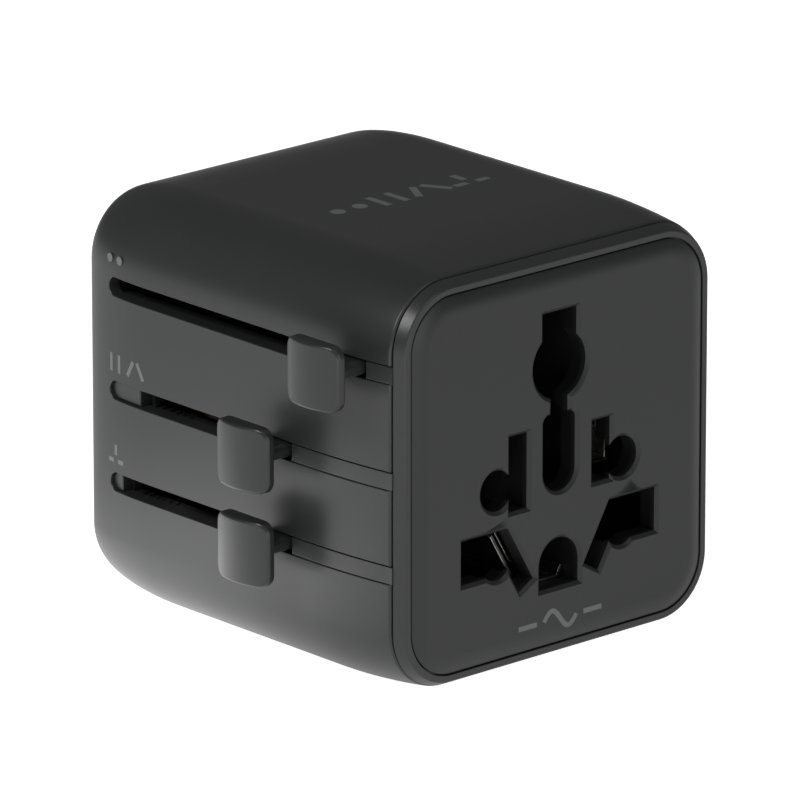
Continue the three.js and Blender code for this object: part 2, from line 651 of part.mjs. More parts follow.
function ukCarriage() {
  const back = CARRIAGE_BACK.uk;
  const depth = [UK_BAR.front, back];
  const { inner, outer, armLow, armHigh, postHalf } = UK_COLUMN;
  const block = box([BLOCK_LEFT, BLOCK_RIGHT], [BLOCK_FRONT, back], [UK_BAR.low, UK_BAR.high]);
  const bar = box([BLOCK_RIGHT - 0.5, outer], depth, [UK_BAR.low, UK_BAR.high]);
  const column = box([inner, outer], depth, [UK_BAR.low, armHigh]);
  const arm = box([-postHalf, outer], depth, [armLow, armHigh]);
  const post = box([-postHalf, postHalf], depth, [armLow, UK_EARTH.z + UK_EARTH.h / 2]);
  const bores = [-1, 1].map((side) => box(
    [UK_PIN.x * side - UK_PIN.w / 2 + UK_SLEEVE.wall, UK_PIN.x * side + UK_PIN.w / 2 - UK_SLEEVE.wall],
    [UK_PIN.root - FIT, back + BEYOND],
    [UK_PIN.z - UK_SLEEVE.boreHalf, UK_PIN.z + UK_SLEEVE.boreHalf]));
  const { w, z } = UK_EARTH;
  const seatFront = UK_BAR.front + 1;
  const seatHalf = w / 2 + FIT;
  const earthSeat = box(
    [-seatHalf, seatHalf], [seatFront, back + BEYOND], [z - EARTH_ROOT, z + EARTH_ROOT]);
  return cut(join(block, bar, column, arm, post), ...bores, earthSeat, stemPocket(UK));
}

// A rectangular pin whose last 1.5 mm narrows towards the tip.
function loftedPin(x, z, w, h, [y0, y1]) {
  const taper = { length: 1.5, narrowing: 1.4 };
  const shank = box([x - w / 2, x + w / 2], [y0, y1 - taper.length], [z - h / 2, z + h / 2]);
  const tip = new THREE.BoxGeometry(w, taper.length, h);
  const position = tip.attributes.position;
  for (let i = 0; i < position.count; i += 1) {
    if (position.getY(i) > 0) {
      position.setX(i, position.getX(i) * (1 - taper.narrowing / w));
      position.setZ(i, position.getZ(i) * (1 - taper.narrowing / h));
    }
  }
  tip.translate(x, y1 - taper.length / 2, z);
  return join(shank, solid(tip));
}

function ukPin(side) {
  const { x, z, w, h, root, sleeveEnd, tip } = UK_PIN;
  const coreHalf = w / 2 - UK_SLEEVE.wall - FIT;
  const coreRise = UK_SLEEVE.boreHalf - FIT;
  const core = box(
    [x * side - coreHalf, x * side + coreHalf], [root, sleeveEnd + 0.5], [z - coreRise, z + coreRise]);
  return join(core, loftedPin(x * side, z, w, h, [sleeveEnd, tip]));
}

// Moulded plastic earth pin; its reduced root plugs into the carriage.
function ukEarthPin() {
  const { z, w, h, tip } = UK_EARTH;
  const rootRise = EARTH_ROOT - FIT;
  const root = box(
    [-w / 2, w / 2], [UK_BAR.front + 1 + FIT, CARRIAGE_BACK.uk + 1], [z - rootRise, z + rootRise]);
  return join(root, loftedPin(0, z, w, h, [CARRIAGE_BACK.uk + FIT, tip]));
}

function ukSleeve(side) {
  const { x, z, w, h, sleeveEnd } = UK_PIN;
  const span = [CARRIAGE_BACK.uk + FIT, sleeveEnd - FIT];
  const outer = box([x * side - w / 2, x * side + w / 2], span, [z - h / 2, z + h / 2]);
  const boreHalf = w / 2 - UK_SLEEVE.wall;
  const through = [span[0] - BEYOND, span[1] + BEYOND];
  const bore = box(
    [x * side - boreHalf, x * side + boreHalf], through, [z - UK_SLEEVE.boreHalf, z + UK_SLEEVE.boreHalf]);
  return cut(outer, bore);
}

function ukWiper(side) {
  const inner = BUSBAR.outer + GAP;
  const depth = [23.5, 26.0];
  const low = UK_BAR.high + FIT;
  const foot = box([inner, inner + 0.9], depth, [low, low + 0.3]);
  const finger = box([inner, inner + STRIP], depth, [low, -4.0]);
  return mirrored(join(foot, finger), side);
}

// ---------------------------------------------------------------- socket contacts, busbars and fuse

// The strip that links a contact's leaves to its busbar.
const LINK = { x: 7.1, front: 8.5, z: [-5.9, -5.4] };

// A pair of leaning leaves behind the slot and the strip that carries on upwards to the flat-pin leaf.
function contactLeaves() {
  const foot = { x: 3.75, z: -14.1 };
  // A plate drawn upright at the foot of the slot and leant over; `across` and `along` are measured
  // in the slot's own directions.
  const leaning = (across, depth, along) => {
    const width = across[1] - across[0];
    const length = along[1] - along[0];
    const geometry = new THREE.BoxGeometry(width, depth[1] - depth[0], length);
    geometry.translate((across[0] + across[1]) / 2, (depth[0] + depth[1]) / 2, (along[0] + along[1]) / 2);
    geometry.rotateY(TWIST);
    geometry.translate(foot.x, 0, foot.z);
    return solid(geometry);
  };
  const leafBack = 12.4;
  const leafTop = 6.7;
  const outerLeaf = leaning([0.35, 0.8], [2.9, leafBack], [0, leafTop]);
  const innerLeaf = leaning([-0.65, -0.2], [3.3, leafBack], [1.3, leafTop]);
  const bridge = leaning([-0.65, 0.8], [9.4, leafBack], [leafTop - 0.45, leafTop]);
  const riser = box([LINK.x, LINK.x + STRIP], [LINK.front, leafBack], [-8.6, 3.0]);
  return join(outerLeaf, innerLeaf, bridge, riser);
}

function neutralContact() {
  const link = box([LINK.x, BUSBAR.inner - FIT], [LINK.front, 16.9], LINK.z);
  return join(contactLeaves(), link).mirror([1, 0, 0]);
}

function liveContact() {
  const riserX = [15.1, 15.1 + STRIP];
  const depth = [LINK.front, 14.2];
  const top = 14.0;
  const link = box([LINK.x, riserX[1]], depth, LINK.z);
  const riser = box(riserX, depth, [LINK.z[0], top]);
  const tail = box(riserX, [LINK.front, 24.5], [10.0, top]);
  return join(contactLeaves(), link, riser, tail);
}

// Sprung cradle in the bottom earth opening: a floor and two flared sides.
function earthContact() {
  const floor = box([-2.4, 2.4], [2.7, 11.0], [-15.7, -15.35]);
  const sides = [-1, 1].map((side) => {
    const geometry = new THREE.BoxGeometry(0.35, 8.3, 1.5);
    geometry.translate(0, 6.85, 0.75);
    geometry.rotateY(side * TWIST);
    geometry.translate(2.3 * side, 0, -15.6);
    return solid(geometry);
  });
  return join(floor, ...sides);
}

// C-shaped rail: two prongs along the pins' travel, joined in front.
function busbar(side) {
  const x = [BUSBAR.inner, BUSBAR.outer];
  const spine = box(x, [BUSBAR.front, BUSBAR.spine], [RAIL_LOW[0], RAIL_HIGH[1]]);
  const rails = [RAIL_LOW, RAIL_HIGH].map((span) => box(x, [BUSBAR.front, BUSBAR.back], span));
  return mirrored(join(spine, ...rails), side);
}

const fuse = () => turned([
  [0, FUSE.front], [FUSE.r, FUSE.front], [FUSE.r, FUSE.front + FUSE.cap],
  [FUSE.r - 0.25, FUSE.front + FUSE.cap], [FUSE.r - 0.25, FUSE.back - FUSE.cap],
  [FUSE.r, FUSE.back - FUSE.cap], [FUSE.r, FUSE.back], [0, FUSE.back],
], FUSE.x, FUSE.z);

// Spring clip around one end cap of the fuse, open towards the side wall.
function fuseClip([y0, y1], tail) {
  const { x, z, r } = FUSE;
  const near = r + 0.1;
  const far = r + 0.5;
  const root = x - r - 0.55;
  const base = box([root, x - near], [y0, y1], [z - far, z + far]);
  const arms = [-1, 1].map((side) => {
    const edge = [z + side * near, z + side * far].sort((a, b) => a - b);
    return box([root, x + 1.6], [y0, y1], edge);
  });
  return join(base, ...arms, ...(tail ? [tail] : []));
}

// ---------------------------------------------------------------- assembly

const adapter = new THREE.Group();
adapter.name = 'universal_travel_adapter';
adapter.position.set(0, -SHELL_MIDDLE, HALF);

function add(name, item, material) {
  const mesh = new THREE.Mesh(geometryOf(item), MATERIALS[material]);
  mesh.name = name;
  adapter.add(mesh);
}

const SIDES = [['left', -1], ['right', 1]];

add('body_shell', bodyShell(), 'shell');
add('front_collar', frontCollar(), 'shell');
add('socket_face', socketFace(), 'face');
add('socket_insert', socketInsert(), 'dark');
add('inner_frame', innerFrame(), 'shell');
add('rear_plate', rearPlate(), 'face');
screwPlaces.forEach((place, i) => add(`rear_screw_${i + 1}`, rearScrew(place), 'steel'));

add('neutral_contact', neutralContact(), 'nickel');
add('live_contact', liveContact(), 'nickel');
add('earth_contact', earthContact(), 'nickel');
add('neutral_busbar', busbar(-1), 'brass');
add('live_busbar', busbar(1), 'brass');
add('fuse', fuse(), 'fuse');
const frontClip = [20.5, 24.4];
const rearClip = [35.6, 39.5];
const clipTail = box([BUSBAR.outer + FIT, FUSE.x - FUSE.r - 0.3], rearClip, [11.0, 11.5]);
add('fuse_clip_front', fuseClip(frontClip), 'brass');
add('fuse_clip_rear', fuseClip(rearClip, clipTail), 'brass');

add('eu_carriage', euCarriage(), 'dark');
add('us_carriage', usCarriage(), 'dark');
add('uk_carriage', ukCarriage(), 'dark');
SIDES.forEach(([word, side]) => {
  add(`eu_pin_${word}`, euPin(side), 'nickel');
  add(`eu_sleeve_${word}`, euSleeve(side), 'sleeve');
  add(`eu_wiper_${word}`, euWiper(side), 'brass');
  add(`us_blade_${word}`, usBlade(side), 'nickel');
  add(`us_wiper_${word}`, usWiper(side), 'brass');
  add(`uk_pin_${word}`, ukPin(side), 'nickel');
  add(`uk_sleeve_${word}`, ukSleeve(side), 'sleeve');
  add(`uk_wiper_${word}`, ukWiper(side), 'brass');
});
add('uk_earth_pin', ukEarthPin(), 'sleeve');
[['eu', EU], ['us', US], ['uk', UK]].forEach(([word, row]) => {
  add(`${word}_knob`, knob(row), 'knob');
  add(`${word}_latch_spring`, latchSpring(row), 'steel');
});

export default adapter;
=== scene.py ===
"""Universal travel adapter: its finished surfaces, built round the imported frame.

Pieces are drawn in millimetres from the centre of the front ring, with X to the right of the
socket, Y towards the rear and Z up. finish_piece() turns a drawing into metres in the frame.
"""

import json
import math

import bmesh
import bpy
from mathutils import Matrix, Vector


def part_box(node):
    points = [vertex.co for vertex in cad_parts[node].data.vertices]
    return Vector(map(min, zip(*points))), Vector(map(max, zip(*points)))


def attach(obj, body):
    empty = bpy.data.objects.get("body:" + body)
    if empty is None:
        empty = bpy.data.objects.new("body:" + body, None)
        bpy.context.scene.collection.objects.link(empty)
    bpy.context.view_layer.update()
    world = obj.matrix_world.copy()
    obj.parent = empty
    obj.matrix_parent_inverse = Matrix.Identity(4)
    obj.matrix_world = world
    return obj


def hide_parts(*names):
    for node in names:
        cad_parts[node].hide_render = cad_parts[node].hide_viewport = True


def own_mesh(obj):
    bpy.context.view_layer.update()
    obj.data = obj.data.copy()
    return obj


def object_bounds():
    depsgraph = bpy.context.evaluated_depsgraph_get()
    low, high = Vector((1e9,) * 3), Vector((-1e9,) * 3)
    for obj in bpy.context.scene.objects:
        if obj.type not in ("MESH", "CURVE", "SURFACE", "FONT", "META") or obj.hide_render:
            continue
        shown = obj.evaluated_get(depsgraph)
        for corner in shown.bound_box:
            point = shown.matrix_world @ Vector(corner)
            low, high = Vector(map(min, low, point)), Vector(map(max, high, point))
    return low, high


bl_info = {
    "name": "Universal travel adapter",
    "version": (1, 0, 0),
    "blender": (4, 5, 0),
    "location": "3D View > Sidebar > Adapter",
    "description": "Builds the finished surfaces of a universal travel adapter",
    "category": "Object",
}

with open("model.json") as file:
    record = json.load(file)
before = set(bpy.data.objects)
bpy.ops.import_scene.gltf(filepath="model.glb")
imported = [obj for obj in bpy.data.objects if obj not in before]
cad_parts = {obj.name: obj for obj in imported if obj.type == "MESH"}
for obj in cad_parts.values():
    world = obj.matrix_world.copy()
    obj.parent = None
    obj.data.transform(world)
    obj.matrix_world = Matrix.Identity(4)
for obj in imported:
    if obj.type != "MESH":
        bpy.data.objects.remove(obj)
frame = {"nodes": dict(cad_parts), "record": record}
FRAME_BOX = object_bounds()

# ------------------------------------------------------------------ sizes, in millimetres

MM = 0.001
RING_CENTRE = Vector((0.0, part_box("front_collar")[0].y, sum(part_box("body_shell")[i].z for i in (0, 1)) / 2))


def frame_box(node):
    """Lowest and highest corner of a CAD node, in millimetres from the ring's centre."""
    return [(corner - RING_CENTRE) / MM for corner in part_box(node)]


SHELL_LOW, SHELL_HIGH = frame_box("body_shell")
HALF = SHELL_HIGH.x
SHELL_FRONT = SHELL_LOW.y
SHELL_BACK = SHELL_HIGH.y
FLAT_START = 14.5
FLAT_END = 42.3
SHELL_CORNER = 9.1
FRONT_TAPER = 0.95
REAR_TAPER = 2.75
WALL = 2.0
REAR_SIDE_WALL = 1.5
REAR_WALL_FRONT = 52.4
CAVITY_FRONT = 10.0
MOUTH_HALF = HALF - FRONT_TAPER - 1.1
WINDOW = {"half": 19.8, "corner": 3.5}

FACE_LOW, FACE_HIGH = frame_box("socket_face")
FACE = {"half": FACE_HIGH.x, "corner": 6.0, "front": FACE_LOW.y, "back": FACE_HIGH.y}
INSERT_HALF = frame_box("socket_insert")[1].x
INSERT = {"half": INSERT_HALF, "corner": 5.0, "front": FACE["back"] + 0.05, "back": 2.42}

SLOT_HALF = 1.1
SLOT_BACK = 49.2
TONGUE_GAP = 0.1
PLUG_ROWS = {
    "eu": {"z": 14.1, "slot_front": 5.3},
    "us": {"z": 1.7, "slot_front": 17.3, "pad_front": 43.9, "ribs_front": 37.2},
    "uk": {"z": -9.35, "slot_front": 17.3, "pad_front": 47.35, "ribs_front": 39.6},
}

KEYHOLE = {
    "top": 17.45, "top_half": 2.8, "circle_z": 10.85, "circle_r": 4.25,
    "neck_end": 5.35, "neck_half": 1.5, "low_half": 2.65, "low_centre": -1.65,
}
EARTH_HOLE = {"half": 3.2, "foot": -15.65, "centre": -12.65}
LEANING_SLOT = {"foot_x": 3.65, "foot_z": -13.7, "width": 2.9, "top": -6.7}
FLAT_SLOTS = {-1: (-6.31, -5.25, 4.1), 1: (6.46, -4.5, 3.3)}
FLAT_SLOT_HALF = 1.57
ROUND_HOLE = {"x": 9.6, "z": -2.07, "r": 2.62}
WIDE_SLOT = {"inner": 8.2, "outer": 15.1, "low": -12.3, "high": -6.7, "relief_z": -10.45, "relief_r": 2.45}
TWIST = math.radians(30)

EU_PIN = {"x": 9.5, "z": 9.0, "r": 2.0, "core": 1.5}
US_BLADE = {"x": 6.35, "z": 0.5, "pivot": -0.5, "height": 6.35, "thick": 1.5, "hub": 2.4}
UK_PIN = {"x": 11.1, "z": -9.6, "w": 6.35, "h": 4.0}
UK_EARTH = {"z": 12.6, "w": 4.0, "h": 8.0}
PIN_CLEARANCE = 0.3
BLADE_CLEARANCE = 0.35
SCREW = {"x": 16.0, "z": 18.0, "head": 1.6, "shank": 0.8, "sink": 1.5}
SIDES = (("left", -1), ("right", 1))
SPRING_WIRE = 0.13
KNOB_BACK = -28.8
KNOB_CORNER = 1.5
CROWN_REAR, CROWN_MIDDLE, CROWN_FRONT = (4.3, 29.95), (0.6, 32.1), (-4.3, 29.8)

SMOOTH_ARC = 18  # steps in a quarter circle where a corner is seen from close by
RING_FLANGE = [  # (depth, half width, corner) down the front ring's outer side
    (0.0, 22.98, 6.75), (0.02, 23.1, 6.86), (0.08, 23.2, 6.95), (0.2, 23.28, 7.03),
    (1.36, 23.8, 7.55), (1.43, 23.79, 7.54), (1.45, 23.72, 7.47),
]
RING_SKIRT = {"front": 1.45, "back": 5.0, "corner": 6.9}


def skin_half(y):
    """Half width of the housing's skin at a depth: it draws in at the front and at the rear."""
    if y < FLAT_START:
        reach = (FLAT_START - max(y, SHELL_FRONT)) / (FLAT_START - SHELL_FRONT)
        return HALF - FRONT_TAPER * reach ** 2
    if y > FLAT_END:
        reach = min(1.0, (y - FLAT_END) / (SHELL_BACK - FLAT_END))
        return HALF - REAR_TAPER * (1 - math.sqrt(1 - reach ** 2))
    return HALF


# ------------------------------------------------------------------ outlines


def arc_points(centre, radius, start, end, steps):
    """Points on an arc, its ends included, with angles in degrees."""
    angles = [math.radians(start + (end - start) * i / steps) for i in range(steps + 1)]
    return [(centre[0] + radius * math.cos(a), centre[1] + radius * math.sin(a)) for a in angles]


def rounded_rect(half_u, half_v, corner, centre=(0.0, 0.0), arc=10):
    """A rectangle with round corners, anticlockwise."""
    points = []
    for quarter, (su, sv) in enumerate(((1, 1), (-1, 1), (-1, -1), (1, -1))):
        middle = (centre[0] + su * (half_u - corner), centre[1] + sv * (half_v - corner))
        points += arc_points(middle, corner, quarter * 90, quarter * 90 + 90, arc)
    return points


def plain_rect(u0, u1, v0, v1):
    """A rectangle with square corners, anticlockwise."""
    return [(u1, v1), (u0, v1), (u0, v0), (u1, v0)]


def circle(u, v, radius, steps=48):
    """A circle, anticlockwise."""
    return arc_points((u, v), radius, 0, 360, steps)[:-1]


def stadium(u0, u1, v, radius, arc=12):
    """A bar along U with round ends."""
    right = arc_points((u1 - radius, v), radius, -90, 90, arc)
    return right + arc_points((u0 + radius, v), radius, 90, 270, arc)


def spread(points, distance):
    """A convex anticlockwise outline, moved outwards by a distance."""
    moved = []
    for i, here in enumerate(points):
        before = Vector(here) - Vector(points[i - 1])
        after = Vector(points[(i + 1) % len(points)]) - Vector(here)
        first = Vector((before.y, -before.x)).normalized()
        second = Vector((after.y, -after.x)).normalized()
        half_way = (first + second).normalized()
        moved.append(Vector(here) + half_way * distance / max(0.3, half_way.dot(first)))
    return [(p.x, p.y) for p in moved]


def finer(points, step):
    """The same outline with long straight stretches divided."""
    result = []
    for i, here in enumerate(points):
        there = points[(i + 1) % len(points)]
        count = max(1, round(math.dist(here, there) / step))
        result += [tuple(Vector(here).lerp(Vector(there), k / count)) for k in range(count)]
    return result


def socket_outlines():
    """The convex outlines that make up all openings of the socket, as (x, z)."""
    hole = KEYHOLE
    shoulder = hole["low_half"] - hole["neck_half"]
    shoulder_z = hole["neck_end"] - shoulder
    foot = arc_points((hole["neck_half"], shoulder_z), shoulder, 0, 90, 8)
    foot += arc_points((-hole["neck_half"], shoulder_z), shoulder, 90, 180, 8)
    foot += arc_points((0, hole["low_centre"]), hole["low_half"], 180, 360, 24)
    earth = EARTH_HOLE
    arch = arc_points((0, earth["centre"]), earth["half"], 0, 180, 24)
    arch += [(-earth["half"], earth["foot"]), (earth["half"], earth["foot"])]
    outlines = [
        plain_rect(-hole["top_half"], hole["top_half"], hole["circle_z"], hole["top"]),
        circle(0, hole["circle_z"], hole["circle_r"]),
        plain_rect(-hole["neck_half"], hole["neck_half"], shoulder_z, hole["circle_z"]),
        foot,
        arch,
    ]
    for side in (-1, 1):
        x, low, high = FLAT_SLOTS[side]
        wide = sorted((WIDE_SLOT["inner"] * side, WIDE_SLOT["outer"] * side))
        outlines += [
            plain_rect(x - FLAT_SLOT_HALF, x + FLAT_SLOT_HALF, low, high),
            circle(ROUND_HOLE["x"] * side, ROUND_HOLE["z"], ROUND_HOLE["r"]),
            plain_rect(*wide, WIDE_SLOT["low"], WIDE_SLOT["high"]),
            circle(ROUND_HOLE["x"] * side, WIDE_SLOT["relief_z"], WIDE_SLOT["relief_r"]),
            leaning_outline(side),
        ]
    return outlines


def leaning_outline(side):
    """The slot for a blade that leans 30 degrees, on one side."""
    slot = LEANING_SLOT
    foot = Vector((slot["foot_x"], slot["foot_z"]))
    along = Vector((math.sin(TWIST), math.cos(TWIST)))
    outer_foot = foot + Vector((math.cos(TWIST), -math.sin(TWIST))) * slot["width"]
    inner, outer = (p + along * ((slot["top"] - p.y) / along.y) for p in (foot, outer_foot))
    corners = [(p.x * side, p.y) for p in (foot, outer_foot, outer, inner)]
    return corners if side > 0 else corners[::-1]


# ------------------------------------------------------------------ drafts: unfinished pieces


def draft(bm, name="draft"):
    """A new object in the scene from a bmesh, still in millimetres."""
    mesh = bpy.data.meshes.new(name)
    bm.to_mesh(mesh)
    bm.free()
    obj = bpy.data.objects.new(name, mesh)
    bpy.context.scene.collection.objects.link(obj)
    return obj


def skin(rings):
    """A closed draft through rings of equally many points, with a cap at each end."""
    bm = bmesh.new()
    loops = [[bm.verts.new(point) for point in ring] for ring in rings]
    count = len(loops[0])
    for near, far in zip(loops, loops[1:]):
        for i in range(count):
            j = (i + 1) % count
            bm.faces.new((near[i], near[j], far[j], far[i]))
    bm.faces.new(loops[0][::-1])
    bm.faces.new(loops[-1])
    bmesh.ops.recalc_face_normals(bm, faces=bm.faces)
    return draft(bm)


def along_y(outline, y):
    """An (x, z) outline as points at a depth."""
    return [(u, y, v) for u, v in outline]


def prism(outline, y0, y1):
    """A draft of one outline from one depth to another."""
    return skin([along_y(outline, y0), along_y(outline, y1)])


def block(x, y, z):
    """A box draft from its spans on the three axes."""
    return prism(plain_rect(*x, *z), *y)


def loft(stations, arc=14):
    """A draft through rounded squares, each (y, half, corner)."""
    return skin([along_y(rounded_rect(half, half, corner, arc=arc), y) for y, half, corner in stations])


def turned(profile, x, z, steps=48):
    """A draft turned about an axis along Y; the profile is (radius, y) from one end to the other."""
    return skin([along_y(circle(x, z, radius, steps), y) for radius, y in profile])


def edge_profile(radius):
    """(depth, spread) steps of a cutter that leaves a round edge of that radius."""
    depths = [radius * share for share in (0.08, 0.3, 0.6, 1.0)]
    steps = [(d, radius - math.sqrt(radius ** 2 - (radius - d) ** 2)) for d in depths]
    above = 0.5
    return [(-above, radius + above)] + steps


def chamfer_cutter(outline, surface, outside, inside, depth):
    """Cuts an outline into a face with a chamfer that starts outside it and ends inside it."""
    fall = outside + inside
    soft = 0.25 * fall
    levels = [
        (-0.5, outside + soft), (0.1 * soft, outside + 0.6 * soft), (0.5 * soft, outside),
        (fall, -inside), (depth, -inside),
    ]
    return skin([along_y(spread(outline, grow), surface + d) for d, grow in levels])


def opening_cutter(outline, surface, inwards, radius, depth):
    """Cuts an outline into a flat face at y = surface, and rounds the edge that it leaves."""
    levels = edge_profile(radius) + [(depth, 0.0)]
    return skin([along_y(spread(outline, grow), surface + inwards * d) for d, grow in levels])


def slot_cutter(row, radius):
    """Cuts a side slot whose round edge follows the housing's curved skin."""
    outline = finer(stadium(-2.0, SLOT_BACK, row["z"], SLOT_HALF), 1.0)
    above, *levels = edge_profile(radius)
    rings = [[(-HALF - above[1], y, z) for y, z in spread(outline, above[1])]]
    for depth, grow in levels:
        rings.append([(-skin_half(y) + depth, y, z) for y, z in spread(outline, grow)])
    rings.append([(-HALF + 2 * WALL + 1, y, z) for y, z in outline])
    return skin(rings)


def settle(obj):
    """Turns an object's modifiers into plain mesh."""
    graph = bpy.context.evaluated_depsgraph_get()
    mesh = bpy.data.meshes.new_from_object(obj.evaluated_get(graph))
    obj.modifiers.clear()
    old = obj.data
    obj.data = mesh
    bpy.data.meshes.remove(old)
    return obj


def combine(base, others, operation="DIFFERENCE"):
    """Cuts, joins or intersects a draft with others, which are used up."""
    for other in others:
        modifier = base.modifiers.new("combine", "BOOLEAN")
        modifier.object = other
        modifier.operation = operation
        modifier.solver = "EXACT"
        settle(base)
        mesh = other.data
        bpy.data.objects.remove(other)
        bpy.data.meshes.remove(mesh)
        if not base.data.polygons:
            raise RuntimeError(f"{operation} left nothing of {base.name}")


def soften(obj, width):
    """Rounds the edges of a draft with flat sides that are sharper than 40 degrees."""
    modifier = obj.modifiers.new("soften", "BEVEL")
    modifier.width = width
    modifier.segments = 2
    modifier.limit_method = "ANGLE"
    modifier.angle_limit = math.radians(40)
    return settle(obj)


def frame_copy(node, width):
    """A draft from a CAD node: welded, its flat faces made whole, and its edges rounded."""
    bm = bmesh.new()
    bm.from_mesh(frame["nodes"][node].data)
    to_drawing = Matrix.Scale(1 / MM, 4) @ Matrix.Translation(-RING_CENTRE)
    bmesh.ops.transform(bm, matrix=to_drawing, verts=bm.verts)
    bmesh.ops.remove_doubles(bm, verts=bm.verts, dist=0.002)
    bmesh.ops.dissolve_limit(bm, angle_limit=math.radians(1), verts=bm.verts, edges=bm.edges)
    return soften(draft(bm), width)


def finish_piece(obj, name, material, body, nodes=()):
    """Shades a draft, puts it into the frame and hands it over to its body."""
    obj.name = name
    obj.data.name = name
    obj.data.shade_smooth()
    obj.data.set_sharp_from_angle(angle=math.radians(35))
    modifier = obj.modifiers.new("normals", "WEIGHTED_NORMAL")
    modifier.keep_sharp = True
    settle(obj)
    obj.data.name = name
    obj.data.transform(Matrix.Translation(RING_CENTRE) @ Matrix.Scale(MM, 4))
    obj.data.materials.clear()
    obj.data.materials.append(material)
    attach(obj, body)
    if nodes:
        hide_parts(*nodes)


# ------------------------------------------------------------------ shader groups and materials


def new_group(name, inputs, outputs):
    """An empty shader group; inputs are (name, socket type, default)."""
    tree = bpy.data.node_groups.new(name, "ShaderNodeTree")
    for title, kind, default in inputs:
        socket = tree.interface.new_socket(title, in_out="INPUT", socket_type=kind)
        socket.default_value = default
    for title, kind in outputs:
        tree.interface.new_socket(title, in_out="OUTPUT", socket_type=kind)
    return tree, tree.nodes.new("NodeGroupInput"), tree.nodes.new("NodeGroupOutput")


def noise(tree, scale, detail=2.0, stretch=None):
    """A noise texture on Object coordinates, its pattern stretched along an axis if asked."""
    coordinates = tree.nodes.new("ShaderNodeTexCoord")
    texture = tree.nodes.new("ShaderNodeTexNoise")
    texture.inputs["Scale"].default_value = scale
    texture.inputs["Detail"].default_value = detail
    source = coordinates.outputs["Object"]
    if stretch:
        mapping = tree.nodes.new("ShaderNodeMapping")
        mapping.inputs["Scale"].default_value = stretch
        tree.links.new(source, mapping.inputs["Vector"])
        source = mapping.outputs["Vector"]
    tree.links.new(source, texture.inputs["Vector"])
    return texture


def arithmetic(tree, operation, first, second):
    """A Math node; either value may be a number or a socket."""
    node = tree.nodes.new("ShaderNodeMath")
    node.operation = operation
    for i, value in enumerate((first, second)):
        if isinstance(value, (int, float)):
            node.inputs[i].default_value = value
        else:
            tree.links.new(value, node.inputs[i])
    return node.outputs[0]


def surface_group(name, fine_scale, patch_scale, stretch=None):
    """Colour, roughness and normal of a surface with a fine relief and soft handling patches."""
    tree, entry, leave = new_group(
        name,
        [
            ("Colour", "NodeSocketColor", (0.05, 0.05, 0.05, 1.0)),
            ("Tone spread", "NodeSocketFloat", 0.1),
            ("Roughness", "NodeSocketFloat", 0.45),
            ("Roughness spread", "NodeSocketFloat", 0.1),
            ("Relief", "NodeSocketFloat", 0.2),
        ],
        [("Colour", "NodeSocketColor"), ("Roughness", "NodeSocketFloat"), ("Normal", "NodeSocketVector")],
    )
    fine = noise(tree, fine_scale, 3.0, stretch)
    patches = noise(tree, patch_scale, 4.0)
    both = arithmetic(tree, "ADD", fine.outputs["Fac"], patches.outputs["Fac"])
    centred = arithmetic(tree, "SUBTRACT", both, 1.0)
    tone = arithmetic(tree, "MULTIPLY_ADD", centred, entry.outputs["Tone spread"])
    tone.node.inputs[2].default_value = 1.0
    tint = tree.nodes.new("ShaderNodeVectorMath")
    tint.operation = "SCALE"
    tree.links.new(entry.outputs["Colour"], tint.inputs[0])
    tree.links.new(tone, tint.inputs["Scale"])
    rough = arithmetic(tree, "MULTIPLY_ADD", centred, entry.outputs["Roughness spread"])
    tree.links.new(entry.outputs["Roughness"], rough.node.inputs[2])
    bump = tree.nodes.new("ShaderNodeBump")
    bump.inputs["Distance"].default_value = 0.00002
    tree.links.new(entry.outputs["Relief"], bump.inputs["Strength"])
    tree.links.new(fine.outputs["Fac"], bump.inputs["Height"])
    tree.links.new(tint.outputs[0], leave.inputs["Colour"])
    tree.links.new(rough, leave.inputs["Roughness"])
    tree.links.new(bump.outputs["Normal"], leave.inputs["Normal"])
    return tree


GROUPS = {
    "moulded_grain": {"fine_scale": 5200.0, "patch_scale": 90.0},
    "drawn_streaks": {"fine_scale": 1500.0, "patch_scale": 260.0, "stretch": (1.0, 0.06, 1.0)},
}

# tone spread, roughness, roughness spread and relief of each finish
PLASTICS = {
    "shell_plastic": (0.10, 0.33, 0.06, 0.10),
    "face_plastic": (0.08, 0.36, 0.06, 0.10),
    "knob_plastic": (0.10, 0.30, 0.06, 0.08),
    "inner_plastic": (0.12, 0.50, 0.10, 0.20),
    "sleeve_plastic": (0.10, 0.30, 0.08, 0.06),
    "fuse_ceramic": (0.05, 0.20, 0.05, 0.02),
    "mark_paint": (0.10, 0.55, 0.05, 0.10),
}
METALS = {
    "nickel_plate": (0.08, 0.24, 0.16, 0.05),
    "brass_strip": (0.14, 0.30, 0.18, 0.06),
    "screw_steel": (0.12, 0.34, 0.18, 0.06),
    "spring_steel": (0.10, 0.28, 0.14, 0.04),
}
END_CAP_COLOUR = (0.62, 0.61, 0.58, 1.0)
END_CAP_LENGTH = 5.0


